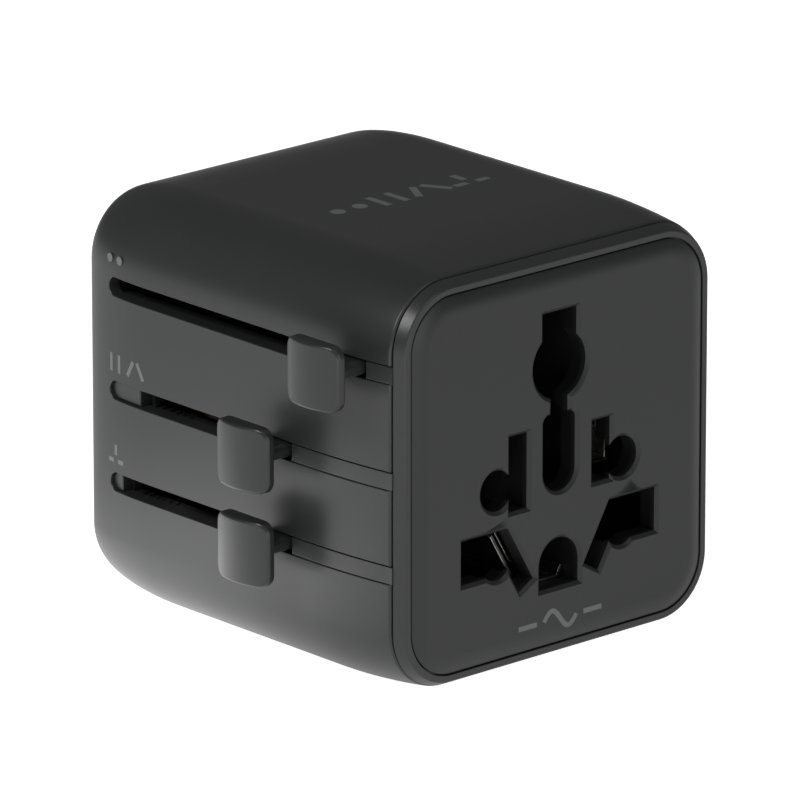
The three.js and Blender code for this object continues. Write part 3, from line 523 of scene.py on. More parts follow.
def finish_material(name, colour):
    """The named finish in a colour, made once."""
    title = f"{name}_finish"
    if title in bpy.data.materials:
        return bpy.data.materials[title]
    metal = name in METALS
    kind = "drawn_streaks" if metal else "moulded_grain"
    tone_spread, rough, rough_spread, relief = METALS[name] if metal else PLASTICS[name]
    group = bpy.data.node_groups.get(kind) or surface_group(kind, **GROUPS[kind])
    material = bpy.data.materials.new(title)
    material.use_nodes = True
    tree = material.node_tree
    shader = tree.nodes["Principled BSDF"]
    shader.inputs["Metallic"].default_value = float(metal)
    node = tree.nodes.new("ShaderNodeGroup")
    node.node_tree = group
    node.inputs["Colour"].default_value = (*colour, 1.0)
    node.inputs["Tone spread"].default_value = tone_spread
    node.inputs["Roughness"].default_value = rough
    node.inputs["Roughness spread"].default_value = rough_spread
    node.inputs["Relief"].default_value = relief
    tree.links.new(node.outputs["Colour"], shader.inputs["Base Color"])
    tree.links.new(node.outputs["Roughness"], shader.inputs["Roughness"])
    tree.links.new(node.outputs["Normal"], shader.inputs["Normal"])
    return material


def add_end_caps(material, low, high):
    """Makes a finish metal outside two depths, as on a fuse's end caps."""
    tree = material.node_tree
    shader = tree.nodes["Principled BSDF"]
    coordinates = tree.nodes.new("ShaderNodeTexCoord")
    split = tree.nodes.new("ShaderNodeSeparateXYZ")
    tree.links.new(coordinates.outputs["Object"], split.inputs[0])
    front = arithmetic(tree, "LESS_THAN", split.outputs["Y"], low)
    rear = arithmetic(tree, "GREATER_THAN", split.outputs["Y"], high)
    caps = arithmetic(tree, "MAXIMUM", front, rear)
    mix = tree.nodes.new("ShaderNodeMix")
    mix.data_type = "RGBA"
    base = shader.inputs["Base Color"].links[0].from_socket
    tree.links.new(caps, mix.inputs["Factor"])
    tree.links.new(base, mix.inputs["A"])
    mix.inputs["B"].default_value = END_CAP_COLOUR
    tree.links.new(mix.outputs["Result"], shader.inputs["Base Color"])
    tree.links.new(caps, shader.inputs["Metallic"])


# ------------------------------------------------------------------ repeated pieces by Geometry Nodes


def new_geometry_tree(name, inputs):
    """An empty geometry tree; inputs are (name, socket type, default)."""
    tree = bpy.data.node_groups.new(name, "GeometryNodeTree")
    tree.interface.new_socket("Geometry", in_out="INPUT", socket_type="NodeSocketGeometry")
    for title, kind, default in inputs:
        socket = tree.interface.new_socket(title, in_out="INPUT", socket_type=kind)
        if default is not None:
            socket.default_value = default
    tree.interface.new_socket("Geometry", in_out="OUTPUT", socket_type="NodeSocketGeometry")
    return tree, tree.nodes.new("NodeGroupInput"), tree.nodes.new("NodeGroupOutput")


def close_geometry_tree(tree, entry, leave, geometry):
    """Ends a tree in Realize Instances and Set Material."""
    realize = tree.nodes.new("GeometryNodeRealizeInstances")
    paint = tree.nodes.new("GeometryNodeSetMaterial")
    tree.links.new(geometry, realize.inputs[0])
    tree.links.new(realize.outputs[0], paint.inputs["Geometry"])
    tree.links.new(entry.outputs["Material"], paint.inputs["Material"])
    tree.links.new(paint.outputs[0], leave.inputs[0])


def run_tree(tree, values):
    """A draft made by a geometry tree with these named input values."""
    obj = draft(bmesh.new())
    modifier = obj.modifiers.new("nodes", "NODES")
    modifier.node_group = tree
    for item in tree.interface.items_tree:
        if item.in_out == "INPUT" and item.name in values:
            modifier[item.identifier] = values[item.name]
    settle(obj)
    if not obj.data.polygons:
        raise RuntimeError(f"the tree {tree.name} made nothing")
    return obj


def screw_tree():
    """A screw at each corner of a rectangle in the XZ plane."""
    tree, entry, leave = new_geometry_tree("screws_on_corners", [
        ("Screw", "NodeSocketObject", None),
        ("Width", "NodeSocketFloat", 2 * SCREW["x"]),
        ("Height", "NodeSocketFloat", 2 * SCREW["z"]),
        ("Material", "NodeSocketMaterial", None),
    ])
    grid = tree.nodes.new("GeometryNodeMeshGrid")
    grid.inputs["Vertices X"].default_value = 2
    grid.inputs["Vertices Y"].default_value = 2
    stand = tree.nodes.new("GeometryNodeTransform")
    stand.inputs["Rotation"].default_value = (math.pi / 2, 0.0, 0.0)
    screw = tree.nodes.new("GeometryNodeObjectInfo")
    place = tree.nodes.new("GeometryNodeInstanceOnPoints")
    tree.links.new(entry.outputs["Width"], grid.inputs["Size X"])
    tree.links.new(entry.outputs["Height"], grid.inputs["Size Y"])
    tree.links.new(entry.outputs["Screw"], screw.inputs["Object"])
    tree.links.new(grid.outputs["Mesh"], stand.inputs["Geometry"])
    tree.links.new(stand.outputs[0], place.inputs["Points"])
    tree.links.new(screw.outputs["Geometry"], place.inputs["Instance"])
    close_geometry_tree(tree, entry, leave, place.outputs[0])
    return tree


def rib_tree():
    """A row of leaning ribs along Y."""
    tree, entry, leave = new_geometry_tree("ribs_in_a_row", [
        ("Rib size", "NodeSocketVector", (1.0, 0.3, 0.1)),
        ("Lean", "NodeSocketVector", (0.0, 0.0, 0.0)),
        ("Start", "NodeSocketVector", (0.0, 0.0, 0.0)),
        ("Step", "NodeSocketVector", (0.0, 1.0, 0.0)),
        ("Count", "NodeSocketInt", 6),
        ("Material", "NodeSocketMaterial", None),
    ])
    line = tree.nodes.new("GeometryNodeMeshLine")
    line.mode = "OFFSET"
    rib = tree.nodes.new("GeometryNodeMeshCube")
    place = tree.nodes.new("GeometryNodeInstanceOnPoints")
    tree.links.new(entry.outputs["Count"], line.inputs["Count"])
    tree.links.new(entry.outputs["Start"], line.inputs["Start Location"])
    tree.links.new(entry.outputs["Step"], line.inputs["Offset"])
    tree.links.new(entry.outputs["Rib size"], rib.inputs["Size"])
    tree.links.new(line.outputs["Mesh"], place.inputs["Points"])
    tree.links.new(rib.outputs["Mesh"], place.inputs["Instance"])
    tree.links.new(entry.outputs["Lean"], place.inputs["Rotation"])
    close_geometry_tree(tree, entry, leave, place.outputs[0])
    return tree


def coil_tree():
    """A coil of round wire along X."""
    tree, entry, leave = new_geometry_tree("coil_along_x", [
        ("Start", "NodeSocketVector", (0.0, 0.0, 0.0)),
        ("Length", "NodeSocketFloat", 3.0),
        ("Radius", "NodeSocketFloat", 0.68),
        ("Wire radius", "NodeSocketFloat", 0.13),
        ("Turns", "NodeSocketFloat", 5.0),
        ("Material", "NodeSocketMaterial", None),
    ])
    spiral = tree.nodes.new("GeometryNodeCurveSpiral")
    spiral.inputs["Resolution"].default_value = 24
    section = tree.nodes.new("GeometryNodeCurvePrimitiveCircle")
    section.inputs["Resolution"].default_value = 10
    sweep = tree.nodes.new("GeometryNodeCurveToMesh")
    sweep.inputs["Fill Caps"].default_value = True
    lay = tree.nodes.new("GeometryNodeTransform")
    lay.inputs["Rotation"].default_value = (0.0, math.pi / 2, 0.0)
    tree.links.new(entry.outputs["Turns"], spiral.inputs["Rotations"])
    tree.links.new(entry.outputs["Radius"], spiral.inputs["Start Radius"])
    tree.links.new(entry.outputs["Radius"], spiral.inputs["End Radius"])
    tree.links.new(entry.outputs["Length"], spiral.inputs["Height"])
    tree.links.new(entry.outputs["Wire radius"], section.inputs["Radius"])
    tree.links.new(spiral.outputs[0], sweep.inputs["Curve"])
    tree.links.new(section.outputs[0], sweep.inputs["Profile Curve"])
    tree.links.new(entry.outputs["Start"], lay.inputs["Translation"])
    tree.links.new(sweep.outputs[0], lay.inputs["Geometry"])
    close_geometry_tree(tree, entry, leave, lay.outputs[0])
    return tree


# ------------------------------------------------------------------ housing


def build_shell(settings):
    """The outer shell: a rounded box that draws in front and rear, with slots and a rear window."""
    rim = settings.rim_round / MM
    stations = []
    for share, inset in ((0.0, 1.0), (0.13, 0.5), (0.5, 0.13), (1.0, 0.0)):
        y = SHELL_FRONT + rim * share
        stations.append((y, skin_half(y) - rim * inset))
    front_steps = 12
    for i in range(1, front_steps + 1):
        y = SHELL_FRONT + rim + (FLAT_START - SHELL_FRONT - rim) * i / front_steps
        stations.append((y, skin_half(y)))
    rear_steps = 18
    for i in range(rear_steps + 1):
        y = FLAT_END + (SHELL_BACK - FLAT_END) * math.sin(i / rear_steps * math.pi / 2)
        stations.append((y, skin_half(y)))
    shell = loft([(y, half, SHELL_CORNER - (HALF - half)) for y, half in stations], arc=SMOOTH_ARC)
    inner = rounded_rect(HALF - WALL, HALF - WALL, SHELL_CORNER - WALL)
    cavity = prism(inner, CAVITY_FRONT, REAR_WALL_FRONT)
    limit_steps = 10
    limit = loft([
        (y, skin_half(y) - REAR_SIDE_WALL, SHELL_CORNER - (HALF - skin_half(y)) - REAR_SIDE_WALL)
        for y in [0.5, FLAT_END] + [
            FLAT_END + (SHELL_BACK - FLAT_END) * math.sin(i / limit_steps * math.pi / 2)
            for i in range(1, limit_steps + 1)
        ]
    ])
    combine(cavity, [limit], "INTERSECT")
    mouth = prism(rounded_rect(MOUTH_HALF, MOUTH_HALF, SHELL_CORNER - WALL), 0.0, CAVITY_FRONT + 1)
    window_outline = rounded_rect(WINDOW["half"], WINDOW["half"], WINDOW["corner"])
    window = opening_cutter(window_outline, SHELL_BACK, -1, rim, SHELL_BACK - REAR_WALL_FRONT + 1)
    slots = [slot_cutter(row, settings.slot_edge / MM) for row in PLUG_ROWS.values()]
    combine(shell, [cavity, mouth, window, *slots])
    material = finish_material("shell_plastic", settings.shell_colour)
    finish_piece(shell, "housing_shell", material, "housing", ["body_shell"])


def tongue(row):
    """A strip that closes the front of a slot, its outer side level with the skin."""
    half = SLOT_HALF - TONGUE_GAP
    edge = 0.06
    below_skin = 0.02
    overlap = 0.6
    inner = -(MOUTH_HALF - TONGUE_GAP) + overlap
    start = 1.4
    end = row["slot_front"] - TONGUE_GAP
    steps = max(4, round((end - start) / 0.8))
    stations = [(start + (end - edge - start) * i / steps, 0.0) for i in range(steps + 1)]
    rings = []
    for y, inset in stations + [(end, edge)]:
        outer = -skin_half(max(y, SHELL_FRONT)) + below_skin + inset
        reach = half - inset
        points = [
            (inner, reach), (outer + edge, reach), (outer + edge * 0.3, reach - edge * 0.3),
            (outer, reach - edge),
        ]
        section = points + [(x, -z) for x, z in points[::-1]]
        rings.append([(x, y, z + row["z"]) for x, z in section])
    return skin(rings)


def build_collar(settings):
    """The ring round the socket face, with its skirt and the three slot tongues."""
    skirt_half = MOUTH_HALF - TONGUE_GAP
    skirt = [(RING_SKIRT[end], skirt_half, RING_SKIRT["corner"]) for end in ("front", "back")]
    ring = loft(RING_FLANGE + skirt, arc=SMOOTH_ARC)
    plate_gap = 0.18
    seat = FACE["half"] + plate_gap
    seat_outline = rounded_rect(seat, seat, FACE["corner"] + plate_gap, arc=SMOOTH_ARC)
    well = opening_cutter(seat_outline, 0.0, 1, 0.08, FACE["back"] + 0.02)
    bore = INSERT["half"] + 0.05
    bore_outline = rounded_rect(bore, bore, INSERT["corner"])
    combine(ring, [well, prism(bore_outline, 0.2, RING_SKIRT["back"] + 1)])
    combine(ring, [tongue(row) for row in PLUG_ROWS.values()], "UNION")
    material = finish_material("shell_plastic", settings.shell_colour)
    finish_piece(ring, "front_ring", material, "housing", ["front_collar"])


def build_socket_face(settings):
    """The pillowed plate with the openings of every plug standard."""
    fall = 0.5
    draw_in = 2.2
    lip = 0.06
    stations = []
    steps = 12
    for i in range(steps + 1):
        reach = i / steps
        stations.append((FACE["front"] + fall * (1 - reach) ** 2, lip + (draw_in - lip) * reach))
    stations = stations[::-1]
    stations += [(stations[-1][0] + lip, 0.0), (FACE["back"], 0.0)]
    rounds = [(y, FACE["half"] - inset, FACE["corner"] - inset) for y, inset in stations]
    plate = loft(rounds, arc=SMOOTH_ARC)
    outside, inside = settings.chamfer_outside / MM, settings.chamfer_inside / MM
    depth = 2.0
    combine(plate, [
        chamfer_cutter(outline, FACE["front"], outside, inside, depth) for outline in socket_outlines()
    ])
    material = finish_material("face_plastic", settings.face_colour)
    finish_piece(plate, "socket_plate", material, "housing", ["socket_face"])


def build_socket_carrier(settings):
    """The dark carrier behind the plate, with the earth channel and the lower cradle."""
    half = INSERT["half"]
    carrier = prism(rounded_rect(half, half, INSERT["corner"]), INSERT["front"], INSERT["back"])
    root = 1.5
    channel = block((-4.75, 4.75), (root, 15.5), (-5.6, 18.2))
    cradle = block((-3.65, 3.65), (root, 12.5), (-17.0, -8.6))
    combine(carrier, [channel, cradle], "UNION")
    bores = [
        block((-4.3, 4.3), (INSERT["back"], 16.5), (-5.1, 17.7)),
        block((-3.35, 3.35), (INSERT["back"], 13.5), (-16.3, -9.0)),
    ]
    openings = [prism(outline, 0.0, INSERT["back"] + 0.01) for outline in socket_outlines()]
    combine(carrier, bores + openings)
    material = finish_material("inner_plastic", settings.inner_colour)
    finish_piece(carrier, "socket_carrier", material, "housing", ["socket_insert"])


def fan_outlines(side):
    """Outlines that a flat blade's opening sweeps from upright to leaning."""
    half_width = US_BLADE["thick"] / 2 + BLADE_CLEARANCE
    half_height = US_BLADE["height"] / 2 + BLADE_CLEARANCE
    lift = US_BLADE["z"] - US_BLADE["pivot"]
    upright = plain_rect(-half_width, half_width, lift - half_height, lift + half_height)
    steps = 6
    outlines = []
    for i in range(steps + 1):
        turn = Matrix.Rotation(-side * TWIST * i / steps, 2)
        points = [turn @ Vector(p) for p in upright]
        outlines.append([(p.x + side * US_BLADE["x"], p.y + US_BLADE["pivot"]) for p in points])
    return outlines


def pin_opening(pin, x):
    """Outline of a block pin's opening in the rear closure."""
    half_width, half_height = (pin[size] / 2 + PIN_CLEARANCE for size in ("w", "h"))
    return rounded_rect(half_width, half_height, 0.4, (x, pin["z"]), 4)


def build_rear(settings):
    """The rear closure with an opening for every pin, and countersinks for its screws."""
    low, high = frame_box("rear_plate")
    front, back, half = low.y, high.y, high.x
    step = REAR_WALL_FRONT - 0.05
    panel_gap = 0.15
    panel_half = WINDOW["half"] - panel_gap
    panel_corner = WINDOW["corner"] - panel_gap
    flange_corner = 4.5
    plate = loft([
        (front, half, flange_corner), (step, half, flange_corner), (step, panel_half, panel_corner),
        (back - 0.2, panel_half, panel_corner), (back - 0.06, panel_half - 0.06, panel_corner - 0.06),
        (back, panel_half - 0.2, panel_corner - 0.2),
    ])
    edge = settings.hole_edge / MM
    outlines = [pin_opening(UK_EARTH, 0)]
    for _, side in SIDES:
        outlines.append(circle(EU_PIN["x"] * side, EU_PIN["z"], EU_PIN["r"] + PIN_CLEARANCE))
        outlines.append(pin_opening(UK_PIN, UK_PIN["x"] * side))
        outlines += fan_outlines(side)
    depth = back - front + 1
    cutters = [opening_cutter(outline, back, -1, edge, depth) for outline in outlines]
    screw_gap = 0.15
    for x in (-SCREW["x"], SCREW["x"]):
        for z in (-SCREW["z"], SCREW["z"]):
            sink = circle(x, z, SCREW["head"] + screw_gap)
            bore = circle(x, z, SCREW["shank"] + screw_gap, 24)
            cutters.append(opening_cutter(sink, back, -1, edge, SCREW["sink"] - 0.25))
            cutters.append(prism(bore, front - 1, back))
    combine(plate, cutters)
    material = finish_material("face_plastic", settings.face_colour)
    finish_piece(plate, "rear_closure", material, "housing", ["rear_plate"])


def build_screws(settings):
    """Four cross-head screws in the rear closure."""
    tip, top = frame_box("rear_screw_1")[0].y, frame_box("rear_screw_1")[1].y
    seat = SHELL_BACK - SCREW["sink"] + 0.05
    head, shank = SCREW["head"], SCREW["shank"]
    screw = turned([
        (0.1, tip), (shank - 0.3, tip), (shank, tip + 0.7), (shank, seat), (head, seat), (head, top - 0.4),
        (head - 0.08, top - 0.2), (head - 0.3, top - 0.05), (head - 0.6, top),
    ], 0.0, 0.0, 32)
    long_way, narrow_way, cut = (-0.85, 0.85), (-0.17, 0.17), (top - 0.6, top + 1)
    combine(screw, [block(long_way, cut, narrow_way), block(narrow_way, cut, long_way)])
    material = finish_material("screw_steel", settings.steel_colour)
    screws = run_tree(screw_tree(), {
        "Screw": screw, "Width": 2 * SCREW["x"], "Height": 2 * SCREW["z"], "Material": material,
    })
    bpy.data.objects.remove(screw)
    nodes = [f"rear_screw_{i}" for i in range(1, 5)]
    finish_piece(screws, "rear_screws", material, "housing", nodes)


def build_end_pads(settings):
    """The pads that close the rear ends of two slots."""
    plastic = finish_material("shell_plastic", settings.shell_colour)
    half = SLOT_HALF - TONGUE_GAP / 2
    rear = SLOT_BACK - TONGUE_GAP / 2
    sink, edge = 0.5, 0.12
    base = WALL + 0.6
    for word in ("us", "uk"):
        row = PLUG_ROWS[word]
        rings = []
        for inset, depth in ((0.0, base), (0.0, sink + edge), (edge, sink)):
            bar = stadium(row["pad_front"] - 3, rear - inset, row["z"], half - inset)
            outline = [(max(u, row["pad_front"] + inset), v) for u, v in finer(bar, 0.6)]
            rings.append([(-skin_half(u) + depth, u, v) for u, v in outline])
        rings[0] = [(base - HALF, u, v) for _, u, v in rings[0]]
        finish_piece(skin(rings), f"{word}_slot_end_pad", plastic, "housing")


def build_ribs(settings):
    """The fine catch ribs in front of the pads."""
    tree = rib_tree()
    plastic = finish_material("shell_plastic", settings.shell_colour)
    for word in ("us", "uk"):
        row = PLUG_ROWS[word]
        ribs = run_tree(tree, {
            "Rib size": (1.25, 0.26, 0.12), "Lean": (0.0, -0.24, 0.0),
            "Start": (-22.75, row["ribs_front"], row["z"] - 1.12),
            "Step": (0.0, 1.2, 0.0), "Count": 6, "Material": plastic,
        })
        finish_piece(ribs, f"{word}_catch_ribs", plastic, "housing")


# ------------------------------------------------------------------ knobs


def crown(u):
    """How far out a knob's thumb face stands at `u` behind its middle, on one quadratic curve."""
    (rear_u, rear_x), (middle_u, middle_x), (front_u, front_x) = CROWN_REAR, CROWN_MIDDLE, CROWN_FRONT
    fall = 2 * (rear_u - middle_u)
    bend = 2 * middle_u - rear_u - front_u
    t = (math.sqrt(fall ** 2 + 4 * bend * (rear_u - u)) - fall) / (2 * bend)
    return rear_x * (1 - t) ** 2 + 2 * middle_x * t * (1 - t) + front_x * t ** 2


def build_knob(word, settings):
    """A crowned thumb pad on an oblong stem."""
    low, high = frame_box(f"{word}_knob")
    y = (low.y + high.y) / 2
    z = (low.z + high.z) / 2
    half_y = (high.y - low.y) / 2
    half_z = (high.z - low.z) / 2
    edge = settings.edge_round / MM
    base = finer(rounded_rect(half_y, half_z, KNOB_CORNER, arc=10), 0.45)

    def outline(inset):
        """The pad's outline, drawn in towards its middle."""
        return [(y + u * (1 - inset / half_y), z + v * (1 - inset / half_z)) for u, v in base]

    rings = []
    for inset, lift in ((0.25, 0.0), (0.07, 0.07), (0.0, 0.25)):
        rings.append([(KNOB_BACK - lift, u, v) for u, v in outline(inset)])
    edge_steps = 6
    for i in range(edge_steps + 1):
        angle = i / edge_steps * math.pi / 2
        drop = edge * (1 - math.sin(angle))
        rings.append([(drop - crown(u - y), u, v) for u, v in outline(edge * (1 - math.cos(angle)))])
    rim = outline(edge)
    for share in (0.9, 0.8, 0.7, 0.6, 0.5, 0.4, 0.3, 0.2, 0.1, 0.02):
        points = [(y + (u - y) * share, z + (v - z) * share) for u, v in rim]
        rings.append([(-crown(u - y), u, v) for u, v in points])
    pad = skin(rings)
    stem_reach, stem_half = 2.4, 0.9
    stem_outline = stadium(y - stem_reach, y + stem_reach, z, stem_half)
    stem = skin([[(x, u, v) for u, v in stem_outline] for x in (KNOB_BACK - 0.3, high.x)])
    combine(pad, [stem], "UNION")
    material = finish_material("knob_plastic", settings.knob_colour)
    finish_piece(pad, f"{word}_thumb_knob", material, f"{word}_button", [f"{word}_knob"])


# ------------------------------------------------------------------ plug pins and inner pieces


def build_eu_pins(settings):
    """The round pins with their insulating sleeves."""
    nickel = finish_material("nickel_plate", settings.nickel_colour)
    black = finish_material("sleeve_plastic", settings.sleeve_colour)
    core, radius, z = EU_PIN["core"], EU_PIN["r"], EU_PIN["z"]
    tip_flat, tip_length, tip_steps = 0.6, 1.6, 8
    for word, side in SIDES:
        x = EU_PIN["x"] * side
        low, high = frame_box(f"eu_pin_{word}")
        sleeve_low, sleeve_high = frame_box(f"eu_sleeve_{word}")
        shoulder = sleeve_high.y + 0.05
        tip = []
        for i in range(tip_steps + 1):
            angle = i / tip_steps * math.pi / 2
            reach = tip_flat + (radius - tip_flat) * math.cos(angle)
            tip.append((reach, high.y - tip_length * (1 - math.sin(angle))))
        pin = turned([(core, low.y), (core, shoulder), (radius, shoulder), *tip], x, z)
        finish_piece(pin, f"eu_round_pin_{word}", nickel, "eu_slider", [f"eu_pin_{word}"])
        sleeve = turned([
            (radius - 0.08, sleeve_low.y), (radius, sleeve_low.y + 0.08),
            (radius, sleeve_high.y - 0.06), (radius - 0.06, sleeve_high.y),
        ], x, z)
        combine(sleeve, [prism(circle(x, z, core + 0.05), sleeve_low.y - 1, sleeve_high.y + 1)])
        nodes = [f"eu_sleeve_{word}"]
        finish_piece(sleeve, f"eu_pin_sleeve_{word}", black, "eu_slider", nodes)


def build_us_blades(settings):
    """The flat blades with their eyes, each on the hub that it turns on."""
    nickel = finish_material("nickel_plate", settings.nickel_colour)
    half = US_BLADE["height"] / 2
    z = US_BLADE["z"]
    carriage_back = frame_box("us_carriage")[1].y
    start, hub_back = carriage_back + 0.15, carriage_back + 0.3
    tip_length, tip_rise = 1.2, 1.0
    eye_from_tip, eye_radius = 6.2, 1.6
    for word, side in SIDES:
        x = US_BLADE["x"] * side
        low, high = frame_box(f"us_blade_{word}")
        outline = [
            (start, z - half), (high.y - tip_length, z - half), (high.y, z - half + tip_rise),
            (high.y, z + half - tip_rise), (high.y - tip_length, z + half), (start, z + half),
        ]
        span = (x - US_BLADE["thick"] / 2, x + US_BLADE["thick"] / 2)
        blade = skin([[(reach, u, v) for u, v in outline] for reach in span])
        soften(blade, 0.14)
        ring = circle(high.y - eye_from_tip, z, eye_radius)
        combine(blade, [skin([[(reach, u, v) for u, v in ring] for reach in (x - 2, x + 2)])])
        hub = turned([(US_BLADE["hub"], low.y), (US_BLADE["hub"], hub_back)], x, US_BLADE["pivot"])
        combine(blade, [hub], "UNION")
        nodes = [f"us_blade_{word}"]
        finish_piece(blade, f"us_flat_blade_{word}", nickel, f"blade_{word}", nodes)


def build_softened_copies(settings):
    """Pieces whose CAD shape is right and whose edges only need rounding."""
    colours = {
        "nickel_plate": settings.nickel_colour, "sleeve_plastic": settings.sleeve_colour,
        "brass_strip": settings.brass_colour,
    }
    rows = [("uk_earth_pin", "uk_slider", "sleeve_plastic", 0.18)]
    for word, _ in SIDES:
        rows += [
            (f"uk_pin_{word}", "uk_slider", "nickel_plate", 0.16),
            (f"uk_sleeve_{word}", "uk_slider", "sleeve_plastic", 0.1),
        ]
    rows += [(f"{word}_contact", "housing", "nickel_plate", 0.07) for word in ("neutral", "live", "earth")]
    rows += [(f"{word}_busbar", "housing", "brass_strip", 0.08) for word in ("neutral", "live")]
    for node, body, slot, width in rows:
        copy = frame_copy(node, width)
        finish_piece(copy, f"{node}_finished", finish_material(slot, colours[slot]), body, [node])


def build_springs(settings):
    """The latch springs under the knobs."""
    tree = coil_tree()
    steel = finish_material("spring_steel", settings.steel_colour)
    for word in PLUG_ROWS:
        low, high = frame_box(f"{word}_latch_spring")
        middle = (low + high) / 2
        spring = run_tree(tree, {
            "Start": (low.x + SPRING_WIRE, middle.y, middle.z),
            "Length": high.x - low.x - 2 * SPRING_WIRE,
            "Radius": (high.z - low.z) / 2 - SPRING_WIRE,
            "Wire radius": SPRING_WIRE, "Turns": 5.0, "Material": steel,
        })
        nodes = [f"{word}_latch_spring"]
        finish_piece(spring, f"{word}_latch_coil", steel, f"{word}_slider", nodes)
        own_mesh(spring)


def paint_inner_nodes(settings):
    """Materials for the CAD nodes that stay as they are."""
    colours = {
        "inner_plastic": settings.inner_colour, "shell_plastic": settings.frame_colour,
        "brass_strip": settings.brass_colour, "fuse_ceramic": settings.ceramic_colour,
    }
    slots = {row["node"]: row["material_slot"] for row in frame["record"]["subparts"]}
    for name, node in frame["nodes"].items():
        if node.hide_render:
            continue
        slot = slots[name]
        if slot not in colours:
            raise RuntimeError(f"{name} is still shown and has no finish of its own")
        node.data.materials.clear()
        node.data.materials.append(finish_material(slot, colours[slot]))
    low, high = (corner.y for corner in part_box("fuse"))
    cap = END_CAP_LENGTH * MM
    add_end_caps(bpy.data.materials["fuse_ceramic_finish"], low + cap, high - cap)


# ------------------------------------------------------------------ marks


def mark_on_side(outline, thickness):
    """A painted mark on the slotted side; the outline is (y, z)."""
    fine = finer(outline, 0.4)
    return skin([[(-skin_half(u) + depth, u, v) for u, v in fine] for depth in (0.1, -thickness)])


def mark_on_top(outline, thickness):
    """A painted mark on the top; the outline is (x, y)."""
    return skin([[(u, v, HALF + height) for u, v in outline] for height in (-0.1, thickness)])


def mark_on_face(outline, thickness):
    """A painted mark on the socket face; the outline is (x, z)."""
    return skin([along_y(outline, FACE["front"] + depth) for depth in (0.1, -thickness)])


def leaning_bar(u, v, half_width, half_height, lean):
    """A bar about a point, turned by an angle."""
    turn = Matrix.Rotation(lean, 2)
    corners = [turn @ Vector(p) for p in plain_rect(-half_width, half_width, -half_height, half_height)]
    return [(u + p.x, v + p.y) for p in corners]


def plug_signs(u, v, size):
    """Outlines of generic pin patterns about a point: round pins, flat pins and block pins."""
    bar = 0.2 * size
    pair = (-1, 1)
    round_pins = [circle(u + s * 0.36 * size, v, 0.2 * size, 20) for s in pair]
    flat_pins = [leaning_bar(u + s * 0.3 * size, v, bar / 2, 0.42 * size, 0.0) for s in pair]
    slanted_pins = [leaning_bar(u + s * 0.34 * size, v, bar / 2, 0.42 * size, s * TWIST) for s in pair]
    low = v - 0.28 * size
    block_pins = [leaning_bar(u + s * 0.36 * size, low, 0.2 * size, bar / 2, 0.0) for s in pair]
    block_pins.append(leaning_bar(u, v + 0.22 * size, bar / 2, 0.24 * size, 0.0))
    return {"eu": round_pins, "us": flat_pins, "aus": slanted_pins, "uk": block_pins}


def wave_outline(u, v, length, height, width):
    """A single wave, as the sign for alternating current."""
    steps = 28
    upper, lower = [], []
    for i in range(steps + 1):
        t = i / steps
        swing = height / 2 * math.sin(2 * math.pi * t)
        slope = math.pi * height / length * math.cos(2 * math.pi * t)
        across = Vector((-slope, 1.0)).normalized() * width / 2
        point = Vector((u + length * (t - 0.5), v + swing))
        upper.append(tuple(point + across))
        lower.append(tuple(point - across))
    return lower + upper[::-1]


def build_marks(settings):
    """Generic pin-pattern signs in place of lettering."""
    thickness = settings.thickness / MM
    paint = finish_material("mark_paint", settings.colour)
    side_size, rear, side_step, above_slot = 2.6, 48.0, 3.8, 3.3
    drafts = []
    for words, row in ((("eu",), "eu"), (("us", "aus"), "us"), (("uk",), "uk")):
        for i, word in enumerate(words):
            signs = plug_signs(rear - side_step * i, PLUG_ROWS[row]["z"] + above_slot, side_size)
            drafts += [mark_on_side(outline, thickness) for outline in signs[word]]
    finish_piece(join_drafts(drafts), "side_signs", paint, "housing")

    top_size, first, top_step, depth = 4.6, -8.4, 5.9, 26.0
    drafts = []
    for i, word in enumerate(("eu", "us", "aus", "uk")):
        signs = plug_signs(first + top_step * i, depth, top_size)
        drafts += [mark_on_top(outline, thickness) for outline in signs[word]]
    finish_piece(join_drafts(drafts), "top_signs", paint, "housing")

    sign_z, bar_x = -19.2, 5.0
    outlines = [wave_outline(0.0, sign_z, 5.0, 2.2, 0.6)]
    outlines += [leaning_bar(side * bar_x, sign_z, 1.4, 0.3, 0.0) for side in (-1, 1)]
    drafts = [mark_on_face(outline, thickness) for outline in outlines]
    finish_piece(join_drafts(drafts), "face_sign", paint, "housing")


def join_drafts(drafts):
    """Several separate drafts as one object."""
    bm = bmesh.new()
    for item in drafts:
        bm.from_mesh(item.data)
        mesh = item.data
        bpy.data.objects.remove(item)
        bpy.data.meshes.remove(mesh)
    return draft(bm)


# ------------------------------------------------------------------ stage


def area_light(name, place, target, size, power):
    """A soft square light that the camera doesn't see."""
    data = bpy.data.lights.new(name, "AREA")
    data.shape = "SQUARE"
    data.size = size
    data.energy = power
    light = bpy.data.objects.new(name, data)
    light.location = place
    light.rotation_mode = "QUATERNION"
    light.rotation_quaternion = (Vector(target) - Vector(place)).to_track_quat("-Z", "Y")
    light.visible_camera = False
    bpy.context.scene.collection.objects.link(light)


# in metres, in the frame; POOL_CENTRE is the middle of the painted pool of glow on the floor
POOL_CENTRE = (-0.048, 0.028, 0.0)
FLOOR_HALF = 1.5
CAMERA_ASIDE, CAMERA_ABOVE = -0.01786, 0.0063


